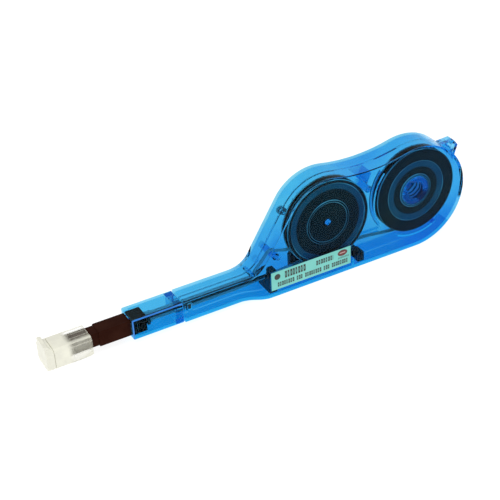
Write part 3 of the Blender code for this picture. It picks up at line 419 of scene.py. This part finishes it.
@dataclass(frozen=True)
class EdgeGlow:
    """Painted glow: saturated blue emission on a clear wall's edge, standing in for light that has run along
    the wall and comes out there.
    """

    name: str
    colour: Colour = (0.006, 0.09, 0.3)
    light: Colour = (0.015, 0.16, 0.42)
    glow: Colour = (0.004, 0.1, 0.42)
    glow_light: Colour = (0.01, 0.17, 0.55)
    strength: float = 0.8
    cloud_scale: float = 70.0
    roughness: float = 0.25
    grain_depth: float = 0.02 * MM

    def make(self) -> Material:
        """Build the material.

        Returns:
            The material.
        """
        shader = Shader(self.name)
        cloud = shader.noise(self.cloud_scale, 3.0)
        surface = shader.principled(
            {
                "Base Color": shader.blend(cloud.ramp(0.35, 0.65), self.colour, self.light),
                "Roughness": self.roughness + 0.1 * cloud,
                "Emission Color": shader.blend(cloud, self.glow, self.glow_light),
                "Emission Strength": self.strength,
                "Normal": shader.bump(cloud, self.grain_depth, 0.2),
            }
        )
        return shader.finish(surface)


@dataclass(frozen=True)
class Moulded:
    """Opaque moulded plastic, with faint mottling and a fine spark-eroded grain."""

    name: str
    colour: Colour
    second: Colour
    roughness: float = 0.4
    grain: float = 5200.0
    grain_depth: float = 0.03 * MM
    specular: float = 0.5
    mottle_scale: float = 160.0
    mottle: float = 0.12

    def make(self) -> Material:
        """Build the material.

        Returns:
            The material.
        """
        shader = Shader(self.name)
        cloud = shader.noise(self.mottle_scale, 4.0)
        grain = shader.noise(self.grain, 2.0)
        surface = shader.principled(
            {
                "Base Color": shader.blend(cloud.ramp(0.35, 0.65), self.colour, self.second),
                "Roughness": self.roughness + self.mottle * (cloud - 0.5),
                "Specular IOR Level": self.specular,
                "Normal": shader.bump(grain, self.grain_depth, 0.6),
            }
        )
        return shader.finish(surface)


@dataclass(frozen=True)
class ReelPlastic:
    """Satin black reel moulding with bluer bands and painted highlights: lighter lines on the edges at given
    radii.
    """

    name: str
    axis: Vector
    bands: tuple[tuple[float, float], ...]
    edges: tuple[float, ...]
    dark: Colour = (0.008, 0.008, 0.008)
    band: Colour = (0.06, 0.15, 0.2)
    wear_and_highlight: Colour = (0.8, 0.95, 0.95)
    edge_fade: float = 0.28 * MM
    soft: float = 0.35 * MM
    roughness: float = 0.3
    specular: float = 0.15
    cloud_scale: float = 220.0
    highlight_patch_scale: float = 60.0
    grain_depth: float = 0.02 * MM

    def make(self) -> Material:
        """Build the material.

        Returns:
            The material.
        """
        shader = Shader(self.name)
        radius = shader.radius(self.axis)
        cloud = shader.noise(self.cloud_scale, 3.0)
        banded = sum(
            radius.ramp(inner - self.soft, inner + self.soft)
            * (1.0 - radius.ramp(outer - self.soft, outer + self.soft))
            for inner, outer in self.bands
        )
        # Painted highlights: lighter lines at the edge radii, broken up by noise.
        wear_and_highlight = shader.rings(radius, self.edges, self.edge_fade)
        side = shader.noise(self.highlight_patch_scale, 2.0).ramp(0.4, 0.6)
        body = shader.blend(banded * (0.7 + 0.4 * cloud), self.dark, self.band)
        surface = shader.principled(
            {
                "Base Color": shader.blend(wear_and_highlight * (0.35 + 0.65 * side), body, self.wear_and_highlight),
                "Roughness": self.roughness + 0.12 * cloud,
                "Specular IOR Level": self.specular,
                "Normal": shader.bump(cloud, self.grain_depth, 0.2),
            }
        )
        return shader.finish(surface)


@dataclass(frozen=True)
class FrostedIvory:
    """Milky plastic: solid-looking where it is thick, see-through over the neck."""

    solid_x: float
    clear_x: float
    name: str = "frosted_ivory"
    colour: Colour = (0.88, 0.87, 0.74)
    second: Colour = (0.8, 0.79, 0.68)
    solid: float = 0.97
    thin: float = 0.07
    cloudy: float = 0.62
    neck_from_z: float = 6.0 * MM
    neck_half: float = 3.4 * MM
    wall_y: float = 5.0 * MM
    soft: float = 0.5 * MM
    waver: float = 0.8 * MM
    cloud_scale: float = 200.0
    grain: float = 1800.0
    grain_depth: float = 0.01 * MM
    roughness: float = 0.3

    def make(self) -> Material:
        """Build the material.

        Returns:
            The material.
        """
        shader = Shader(self.name)
        x, y, z = shader.place()
        cloud = shader.noise(self.cloud_scale, 3.0)
        clear = (x + self.waver * (cloud - 0.5)).ramp(self.solid_x, self.clear_x)
        across = abs(y)
        below = 1.0 - z.ramp(self.neck_from_z - self.soft, self.neck_from_z + self.soft)
        beside = across.ramp(self.neck_half - self.soft, self.neck_half + self.soft)
        away = shader.choose(across > self.wall_y, below, beside)
        over_neck = self.thin + (self.cloudy - self.thin) * away
        surface = shader.principled(
            {
                "Base Color": shader.blend(cloud.ramp(0.3, 0.7), self.colour, self.second),
                "Roughness": self.roughness + 0.1 * cloud,
                "Alpha": self.solid + (over_neck - self.solid) * clear,
                "Normal": shader.bump(shader.noise(self.grain, 2.0), self.grain_depth, 0.3),
            }
        )
        return shader.finish(surface)


@dataclass(frozen=True)
class Steel:
    """Drawn spring wire with fine lengthwise streaks."""

    name: str = "spring_wire"
    shade: Colour = (0.42, 0.43, 0.45)
    light: Colour = (0.72, 0.72, 0.74)
    streak_scale: float = 2600.0
    streak_stretch: tuple[float, float, float] = (0.2, 1.0, 1.0)
    roughness: float = 0.22

    def make(self) -> Material:
        """Build the material.

        Returns:
            The material.
        """
        shader = Shader(self.name)
        streak = shader.noise(self.streak_scale, 3.0, self.streak_stretch)
        surface = shader.principled(
            {
                "Base Color": shader.blend(streak, self.shade, self.light),
                "Metallic": 1.0,
                "Roughness": self.roughness + 0.2 * streak,
            }
        )
        return shader.finish(surface)


@dataclass(frozen=True)
class Microfibre:
    """Fine woven cleaning tape: threads across and along, slightly soft."""

    name: str = "microfibre"
    pitch: float = 0.28 * MM
    light: Colour = (0.72, 0.78, 0.82)
    shade: Colour = (0.5, 0.57, 0.63)
    roughness: float = 0.85
    thread_depth: float = 0.04 * MM

    def make(self) -> Material:
        """Build the material.

        Returns:
            The material.
        """
        shader = Shader(self.name)
        x, y, z = shader.place()
        along = ((x + z) * (1.0 / self.pitch)).repeat(1.0)
        across = (y * (1.0 / self.pitch)).repeat(1.0)
        weave = abs(along - 0.5) + abs(across - 0.5)
        surface = shader.principled(
            {
                "Base Color": shader.blend(weave, self.shade, self.light),
                "Roughness": self.roughness,
                "Normal": shader.bump(weave, self.thread_depth, 0.7),
            }
        )
        return shader.finish(surface)


@dataclass(frozen=True)
class PrintRow:
    """A row of short bars that stand for print, in shares of the film's length and height."""

    left: float
    right: float
    low: float
    high: float
    pitch: float
    strength: float = 1.0
    bar: float = 0.62
    bar_change: float = 0.2
    change_step: float = 0.618
    gap_step: float = 0.2317
    gap_share: float = 0.14
    hole_across: tuple[float, float] = (0.26, 0.4)
    hole_up: tuple[float, float] = (0.3, 0.72)

    def ink(self, u: Wire, v: Wire) -> Wire:
        """Where the row's ink is.

        Args:
            u: How far along the film a point is.
            v: How far up it is.

        Returns:
            The ink's strength there.
        """
        along = (u - self.left) * (1.0 / self.pitch)
        cell, inside = along.steps(), along.repeat(1.0)
        wide = self.bar + self.bar_change * (cell * self.change_step).repeat(1.0)
        word = (cell * self.gap_step).repeat(1.0) > self.gap_share
        height = (v - self.low) * (1.0 / (self.high - self.low))
        solid = 1.0 - inside.between(*self.hole_across) * height.between(*self.hole_up)
        printed = (inside < wide) * solid * word
        return printed * u.between(self.left, self.right) * v.between(self.low, self.high) * self.strength


@dataclass(frozen=True)
class PrintedFilm:
    """Mint sticker film with plain printed marks: a dot, rows of short bars and an oval badge."""

    low: Vector
    high: Vector
    name: str = "printed_film"
    film: Colour = (0.155, 0.56, 0.5)
    wear_and_highlight: Colour = (0.19, 0.61, 0.55)
    ink: Colour = (0.02, 0.022, 0.018)
    badge: Colour = (0.12, 0.02, 0.02)
    badge_mark: Colour = (0.5, 0.3, 0.28)
    title: PrintRow = PrintRow(0.135, 0.435, 0.5, 0.88, 0.033)
    code: PrintRow = PrintRow(0.53, 0.775, 0.56, 0.82, 0.03)
    line: PrintRow = PrintRow(0.05, 0.97, 0.13, 0.37, 0.0262)
    small: PrintRow = PrintRow(0.82, 0.975, 0.46, 0.55, 0.018, strength=0.7)
    dot_at: tuple[float, float] = (0.075, 0.7)
    dot_radius: float = 0.16
    oval_at: tuple[float, float] = (0.895, 0.76)
    oval_squeeze: float = 0.62
    oval_radius: float = 0.17
    mark_up: tuple[float, float] = (-0.03, 0.03)
    mark_across: tuple[float, float] = (-0.01, 0.1)
    cloud_scale: float = 90.0
    roughness: float = 0.42
    grain: float = 2500.0
    grain_depth: float = 0.01 * MM

    def _share(self, shader: Shader) -> tuple[Wire, Wire]:
        """How far along and up the film a point is.

        Args:
            shader: The material.

        Returns:
            Both, from 0 to 1.
        """
        x, _, z = shader.place()
        size = self.high - self.low
        return (x - self.low.x) * (1.0 / size.x), (z - self.low.z) * (1.0 / size.z)

    def make(self) -> Material:
        """Build the material.

        Returns:
            The material.
        """
        shader = Shader(self.name)
        u, v = self._share(shader)
        aspect = (self.high.x - self.low.x) / (self.high.z - self.low.z)
        dot_u, dot_v = (u - self.dot_at[0]) * aspect, v - self.dot_at[1]
        ink = (dot_u * dot_u + dot_v * dot_v).root() < self.dot_radius
        for row in (self.title, self.code, self.line, self.small):
            ink = ink.most(row.ink(u, v))
        oval_u, oval_v = (u - self.oval_at[0]) * (aspect * self.oval_squeeze), v - self.oval_at[1]
        badge = (oval_u * oval_u + oval_v * oval_v).root() < self.oval_radius
        mark = oval_v.between(*self.mark_up) * abs(oval_u).between(*self.mark_across)
        cloud = shader.noise(self.cloud_scale, 3.0)
        film = shader.blend(cloud.ramp(0.35, 0.65), self.film, self.wear_and_highlight)
        printed = shader.blend(ink, film, self.ink)
        marked = shader.blend(badge, printed, self.badge)
        surface = shader.principled(
            {
                "Base Color": shader.blend(badge * mark, marked, self.badge_mark),
                "Roughness": self.roughness + 0.14 * cloud - 0.08 * ink,
                "Normal": shader.bump(shader.noise(self.grain, 2.0), self.grain_depth, 0.3),
            }
        )
        return shader.finish(surface)


# Mesh tools


class Form:
    """A mesh being shaped with bmesh operators."""

    smooth = math.radians(32)
    corner = math.radians(30)
    flat = math.radians(1)
    weld = 0.001 * MM

    def __init__(self) -> None:
        """Start empty."""
        self.bm = bmesh.new()

    @classmethod
    def of_node(cls, node: str) -> "Form":
        """Take a welded copy of a CAD node, with its flat faces whole again.

        Args:
            node: The CAD node.

        Returns:
            The form.
        """
        form = cls()
        form.bm.from_mesh(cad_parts[node].data)
        bmesh.ops.remove_doubles(form.bm, verts=form.bm.verts, dist=cls.weld)
        bmesh.ops.dissolve_limit(
            form.bm, angle_limit=cls.flat, verts=form.bm.verts, edges=form.bm.edges, delimit=set()
        )
        return form

    @classmethod
    def turned(cls, profile: Sequence[tuple[float, float]], axis: Vector, steps: int = 144) -> "Form":
        """A closed profile of (radius, y) turned about a line along Y.

        Args:
            profile: The profile's corners, in order.
            axis: A point on the line.
            steps: How many facets the turn has.

        Returns:
            The form.
        """
        form = cls()
        verts = [form.bm.verts.new((axis.x + radius, y, axis.z)) for radius, y in profile]
        edges = [form.bm.edges.new((verts[i - 1], verts[i])) for i in range(len(verts))]
        bmesh.ops.spin(
            form.bm,
            geom=verts + edges,
            cent=axis,
            axis=(0, 1, 0),
            angle=math.tau,
            steps=steps,
            use_merge=True,
            use_duplicate=False,
        )
        return form

    def grow_rear(self, by: float) -> "Form":
        """Move the form's rear face back, to close the gap behind it.

        Args:
            by: How far the face moves.

        Returns:
            The form.
        """
        rear = max(v.co.x for v in self.bm.verts)
        face = [v for v in self.bm.verts if rear - v.co.x < self.weld]
        bmesh.ops.translate(self.bm, vec=(by, 0, 0), verts=face)
        return self

    def soften(self, width: float, slot: int = 0, segments: int = 3) -> "Form":
        """Round every sharp edge.

        Args:
            width: How far the rounding reaches.
            slot: The material slot of the rounding.
            segments: Its facets.

        Returns:
            The form.
        """
        joined = [edge for edge in self.bm.edges if len(edge.link_faces) == 2]
        made = bmesh.ops.bevel(
            self.bm,
            geom=[edge for edge in joined if edge.calc_face_angle(0.0) > self.corner],
            offset=width,
            offset_type="OFFSET",
            segments=segments,
            profile=0.5,
            affect="EDGES",
            clamp_overlap=True,
            material=-1,
        )
        for face in made["faces"]:
            face.material_index = slot
        return self

    def piece(self, name: str, finish: Material, body: Optional[str], *others: Material) -> Object:
        """Close the form as a piece of the cleaner.

        Args:
            name: The piece's name.
            finish: Its material.
            body: The body it moves with, or none to leave it unattached.
            others: The finishes of slots 1 and up, where the form uses them.

        Returns:
            The piece.
        """
        bmesh.ops.recalc_face_normals(self.bm, faces=self.bm.faces)
        mesh = bpy.data.meshes.new(name)
        self.bm.to_mesh(mesh)
        self.bm.free()
        mesh.polygons.foreach_set("use_smooth", [True] * len(mesh.polygons))
        mesh.set_sharp_from_angle(angle=self.smooth)
        for each in (finish, *others):
            mesh.materials.append(each)
        made = bpy.data.objects.new(name, mesh)
        bpy.context.scene.collection.objects.link(made)
        if body is not None:
            weighted = made.modifiers.new("Normals", "WEIGHTED_NORMAL")
            weighted.keep_sharp = True
            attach(made, body)
        LOG.info("%s: %d faces on %s", name, len(mesh.polygons), body)
        return made


# Sub-assemblies


class Wall(IntEnum):
    """The material slots of a clear piece."""

    CLEAR = 0
    UNDERSIDE = 1
    ROUNDING = 2


@dataclass(frozen=True)
class Casing:
    """The two clear halves and the sleeve at the handle's front."""

    rear_axis: Vector
    edge_tilt: tuple[float, float] = (0.5, 0.9)
    edge_y: float = 4.5 * MM
    under_z: float = 8.0 * MM
    under_tilt: float = -0.6

    def _slot(self, face: bmesh.types.BMFace) -> Wall:
        """Sort a face by which painted glow it gets, if any.

        Args:
            face: A face of a clear piece.

        Returns:
            Its material slot.
        """
        middle = face.calc_center_median()
        if self.edge_tilt[0] < abs(face.normal.y) < self.edge_tilt[1] and abs(middle.y) > self.edge_y:
            return Wall.ROUNDING
        if middle.z < self.under_z and face.normal.z < self.under_tilt:
            return Wall.UNDERSIDE
        return Wall.CLEAR

    def build(self) -> None:
        """Make the three clear pieces from welded copies of the CAD, with painted glow on their undersides and
        roundings.
        """
        clear = ClearBlue(post=self.rear_axis).make()
        # Painted glow: emission on the undersides and roundings of the clear walls stands in for light.
        under = EdgeGlow("lit_underside", glow=(0.03, 0.5, 0.85), glow_light=(0.08, 0.64, 0.94)).make()
        rounding = EdgeGlow("lit_rounding").make()
        for node in ("near_shell", "far_shell", "front_sleeve"):
            form = Form.of_node(node)
            form.bm.normal_update()
            for face in form.bm.faces:
                face.material_index = self._slot(face)
            made = form.piece(f"clear_{node}", clear, "casing", under, rounding)
            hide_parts(node)


@dataclass(frozen=True)
class Reels:
    """Both tape reels: flanges with turned rings, hubs and wound tape."""

    front_axis: Vector
    rear_axis: Vector
    near_y: float
    rim: float = 21.0 * MM
    flange: float = 0.6 * MM
    round: float = 0.12 * MM
    front_bore: float = 1.9 * MM
    front_ring: float = 10.4 * MM
    front_slope: tuple[float, float] = (16.4 * MM, 19.2 * MM)
    rear_bore: float = 7.3 * MM
    rear_step: float = 15.1 * MM
    rear_dish: float = 12.0 * MM
    rear_lip: float = 8.4 * MM
    front_recess: float = 0.28 * MM
    collar_rise: float = 0.1 * MM
    bead_half: float = 0.35 * MM
    bead_drop: float = 0.06 * MM
    bead_dip: float = 0.02 * MM
    band_run: float = 0.3 * MM
    band_drop: float = 0.2 * MM
    band_foot: float = 0.1 * MM
    rim_run: float = 0.15 * MM
    rear_recess: float = 0.3 * MM
    lip_drop: float = 0.1 * MM
    lip_run: float = 0.2 * MM
    dish_run: float = 0.2 * MM
    dish_rise: float = 0.08 * MM
    step_run: float = 0.3 * MM
    bead_edge: float = 0.5 * MM
    lip_edge: float = 0.1 * MM
    tape_nodes: tuple[str, ...] = (
        "takeup_tape_roll",
        "supply_tape_roll",
        "tape_supply_run",
        "tape_return_run",
        "tape_head_loop",
    )

    def _rim(self) -> list[tuple[float, float]]:
        """List the rounded outer corners that both near flanges end with.

        Returns:
            Their radius and Y.
        """
        top, back = self.near_y, self.near_y + self.flange
        outer = [(self.rim - self.round, top), (self.rim, top + self.round)]
        return outer + [(self.rim, back - self.round), (self.rim - self.round, back)]

    def _near_front(self) -> Form:
        """Turn the front reel's near flange: a bead ring, a sloped band and a raised rim.

        Returns:
            The form.
        """
        top, low, back = self.near_y, self.near_y + self.front_recess, self.near_y + self.flange
        bore, ring, half = self.front_bore, self.front_ring, self.bead_half
        inner, outer = self.front_slope
        collar = low - self.collar_rise
        profile = [(bore, back), (bore, collar), (bore + half, collar), (bore + 2 * half, low)]
        profile += [(ring - 2 * half, low), (ring - half, top + self.bead_drop), (ring, low - self.bead_dip)]
        profile += [(ring + half, top + self.bead_drop), (ring + 2 * half, low), (inner, low)]
        profile += [(inner + self.band_run, top + self.band_drop), (outer, low + self.band_foot)]
        profile += [(outer + self.rim_run, top), *self._rim()]
        return Form.turned(profile, self.front_axis)

    def _near_rear(self) -> Form:
        """Turn the rear reel's near flange: a broad rim, a step down and a dish with a lip round the post.

        Returns:
            The form.
        """
        top, low, back = self.near_y, self.near_y + self.rear_recess, self.near_y + self.flange
        bore, lip, dish, step = self.rear_bore, self.rear_lip, self.rear_dish, self.rear_step
        lip_top, tread = top + self.lip_drop, low - self.dish_rise
        profile = [(bore, back), (bore, lip_top), (lip - self.lip_run, lip_top), (lip, low), (dish, low)]
        profile += [(dish + self.dish_run, tread), (step - self.step_run, tread), (step, top), *self._rim()]
        return Form.turned(profile, self.rear_axis)

    def build(self) -> None:
        """Make the near flanges and dress the hubs and rolls."""
        inner, outer = self.front_slope
        ring = self.front_ring
        # The radii of the painted edge highlights on each reel, front and rear.
        front_edges = (ring - self.bead_edge, ring + self.bead_edge, outer, self.rim - self.round)
        front = ReelPlastic("reel_front", self.front_axis, ((inner, outer),), front_edges).make()
        rear_edges = (self.rear_lip - self.lip_edge, self.rear_bore, self.rear_step, self.rim - self.round)
        rear_bands = ((self.rear_dish, self.rear_step), (0.0, self.rear_lip))
        rear = ReelPlastic("reel_rear", self.rear_axis, rear_bands, rear_edges).make()
        made = self._near_front().piece("front_reel_face", front, "takeup")
        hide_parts("takeup_flange")
        made = self._near_rear().piece("rear_reel_face", rear, "supply")
        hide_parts("supply_flange")
        for node, body, finish in (("takeup_reel", "takeup", front), ("supply_reel", "supply", rear)):
            made = Form.of_node(node).piece(f"smooth_{node}", finish, body)
            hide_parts(node)
        tape = Microfibre().make()
        for node in self.tape_nodes:
            dress(node, tape)


@dataclass(frozen=True)
class Nozzle:
    """The dark push-in tube and its neck."""

    edge: float = 0.35 * MM
    brown: Colour = (0.022, 0.004, 0.0014)
    brown_light: Colour = (0.03, 0.0075, 0.0035)

    def build(self) -> None:
        """Soften the tube's edges and give it its brown-black finish."""
        brown = Moulded("nozzle_brown", self.brown, self.brown_light, 0.45, specular=0.03).make()
        made = Form.of_node("nozzle").soften(self.edge).piece("nozzle_tube", brown, "slider")
        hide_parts("nozzle")


@dataclass(frozen=True)
class GuideCap:
    """The frosted cap over the neck, with its hinged lid."""

    edge: float = 0.4 * MM
    solid_share: float = 0.34
    clear_share: float = 0.54
    lid_gap: float = 0.25 * MM

    def build(self) -> None:
        """Soften the cap and the lid and give them their frosted finish."""
        low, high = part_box("guide_cap")
        length = high.x - low.x
        solid_x, clear_x = low.x + self.solid_share * length, low.x + self.clear_share * length
        frosted = FrostedIvory(solid_x, clear_x).make()
        edge = FrostedIvory(solid_x, clear_x, "frosted_edge", thin=0.34, cloudy=0.66).make()
        cap = Form.of_node("guide_cap").soften(self.edge, slot=1)
        made = cap.piece("frosted_cap", frosted, "cap", edge)
        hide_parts("guide_cap")
        lid = Form.of_node("cap_lid").grow_rear(self.lid_gap).soften(self.edge)
        made = lid.piece("smooth_lid", frosted, "lid")
        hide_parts("cap_lid")


@dataclass(frozen=True)
class Drive:
    """The slide, the gear train, the ratchet and the springs."""

    @staticmethod
    def _spring(node: str, front: str, rear: str, finish: Material) -> None:
        """Make a welded, smooth copy of a CAD coil, fixed where it stands.

        Args:
            node: The CAD coil.
            front: Not used.
            rear: Not used.
            finish: Its material.
        """
        made = Form.of_node(node).piece(f"wire_{node}", finish, None)
        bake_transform(made)
        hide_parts(node)

    def build(self) -> None:
        """Give every inner piece its finish."""
        dark = Moulded("slide_black", (0.006, 0.0065, 0.007), (0.012, 0.012, 0.013), 0.45).make()
        for node in ("push_rod", "carriage"):
            dress(node, dark)
        pale = Moulded("gear_white", (0.4, 0.45, 0.5), (0.5, 0.54, 0.58), 0.5).make()
        for node in ("drive_gear", "takeup_ratchet", "cleaning_head", "drive_pawl", "holding_pawl"):
            dress(node, pale)
        steel = Steel().make()
        self._spring("return_spring", "slider", "casing", steel)
        self._spring("head_spring", "head", "slider", steel)
        tinted = Moulded("spring_dark", (0.02, 0.05, 0.07), (0.03, 0.07, 0.1), 0.5).make()
        dress("supply_brake_spring", tinted)


@dataclass(frozen=True)
class Label:
    """The printed sticker in its recess."""

    def build(self) -> None:
        """Print the sticker."""
        low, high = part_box("label")
        dress("label", PrintedFilm(low, high).make())


@dataclass(frozen=True)
class Viewpoint:
    """Where the camera stands and how it looks at the cleaner."""

    azimuth: float = math.radians(-27.379)
    elevation: float = math.radians(33.356)
    roll: float = math.radians(3.172)
    distance: float = 0.59265
    across: float = 0.0330
    up: float = -0.00853
    turned_about: Vector = field(default_factory=lambda: Vector((0.03175, 0.0, 0.0)))
    lens: float = 92.762
    sensor: float = 36.0
    nearest: float = 10.0 * MM

    def place(self) -> None:
        """Make the camera and use it."""
        sin_a, cos_a = math.sin(self.azimuth), math.cos(self.azimuth)
        sin_e, cos_e = math.sin(self.elevation), math.cos(self.elevation)
        back = Vector((sin_a * cos_e, -cos_a * cos_e, sin_e))
        right = Vector((cos_a, sin_a, 0.0))
        upward = back.cross(right)
        turn = Matrix((right, upward, back)).transposed() @ Matrix.Rotation(-self.roll, 3, "Z")
        data = bpy.data.cameras.new("camera")
        data.lens = self.lens
        data.sensor_width = self.sensor
        data.clip_start = self.nearest
        camera = bpy.data.objects.new("camera", data)
        bpy.context.scene.collection.objects.link(camera)
        offset = Vector((self.across, self.up, -self.distance))
        camera.matrix_world = Matrix.Translation(self.turned_about - turn @ offset) @ turn.to_4x4()
        bpy.context.scene.camera = camera


@dataclass(frozen=True)
class Studio:
    """A pale floor, a white room and soft lights."""

    floor_side: float = 6.0
    floor_glow: float = 0.86
    room: float = 0.72
    key_watts: float = 2.0
    fill_watts: float = 0.6
    floor_drop: float = 0.2 * MM
    floor_grey: Colour = (0.3, 0.3, 0.3)
    floor_light: Colour = (0.32, 0.32, 0.32)
    key_place: tuple[float, float, float] = (-0.35, -0.25, 0.75)
    key_side: float = 0.5
    fill_place: tuple[float, float, float] = (0.55, -0.6, 0.35)
    fill_side: float = 0.6
    aim: tuple[float, float, float] = (0.0, 0.0, 0.02)

    def build(self) -> None:
        """Make the floor, the room's light and the lamps."""
        bm = bmesh.new()
        bmesh.ops.create_grid(bm, x_segments=1, y_segments=1, size=self.floor_side / 2)
        bmesh.ops.translate(bm, vec=(0, 0, -self.floor_drop), verts=bm.verts)
        mesh = bpy.data.meshes.new("floor")
        bm.to_mesh(mesh)
        bm.free()
        floor = bpy.data.objects.new("floor", mesh)
        bpy.context.scene.collection.objects.link(floor)
        shader = Shader("floor_paper")
        surface = shader.principled(
            {
                "Base Color": shader.blend(shader.noise(30.0, 2.0), self.floor_grey, self.floor_light),
                "Roughness": 0.9,
                "Specular IOR Level": 0.0,
                "Emission Color": WHITE,
                "Emission Strength": self.floor_glow,
            }
        )
        mesh.materials.append(shader.finish(surface))
        world = bpy.data.worlds.new("room")
        world.use_nodes = True
        background = world.node_tree.nodes["Background"]
        background.inputs["Color"].default_value = (*WHITE, 1.0)
        background.inputs["Strength"].default_value = self.room
        bpy.context.scene.world = world
        self._lamp("key", self.key_place, self.key_side, self.key_watts)
        self._lamp("fill", self.fill_place, self.fill_side, self.fill_watts)
        bpy.context.scene.view_settings.view_transform = "Standard"

    def _lamp(self, name: str, place: Sequence[float], side: float, watts: float) -> None:
        """Hang one square lamp that shines at the cleaner.

        Args:
            name: The lamp's name.
            place: Where it hangs.
            side: Its side.
            watts: Its power.
        """
        data = bpy.data.lights.new(name, "AREA")
        data.size = side
        data.energy = watts
        lamp = bpy.data.objects.new(name, data)
        bpy.context.scene.collection.objects.link(lamp)
        lamp.location = place
        toward = Vector(self.aim) - Vector(place)
        lamp.rotation_euler = toward.to_track_quat("-Z", "Y").to_euler()


def middle_of(node: str) -> Vector:
    """The middle of a CAD node's box, at no depth."""
    low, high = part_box(node)
    return Vector(((low.x + high.x) / 2, 0.0, (low.z + high.z) / 2))


def dress(node: str, finish: Material) -> None:
    """Give a CAD node its finish.

    Args:
        node: The CAD node.
        finish: Its material.
    """
    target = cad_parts[node]
    target.data.materials.clear()
    target.data.materials.append(finish)
    LOG.info("%s: dressed in %s", node, finish.name)


def main() -> None:
    """Build everything in order."""
    logging.basicConfig(level=logging.INFO)
    Viewpoint().place()
    Studio().build()
    near_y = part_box("takeup_flange")[0].y
    front = middle_of("takeup_flange")
    rear = middle_of("supply_flange")
    Casing(rear).build()
    Reels(front, rear, near_y).build()
    Nozzle().build()
    GuideCap().build()
    Drive().build()
    Label().build()


if __name__ == "__main__":
    main()
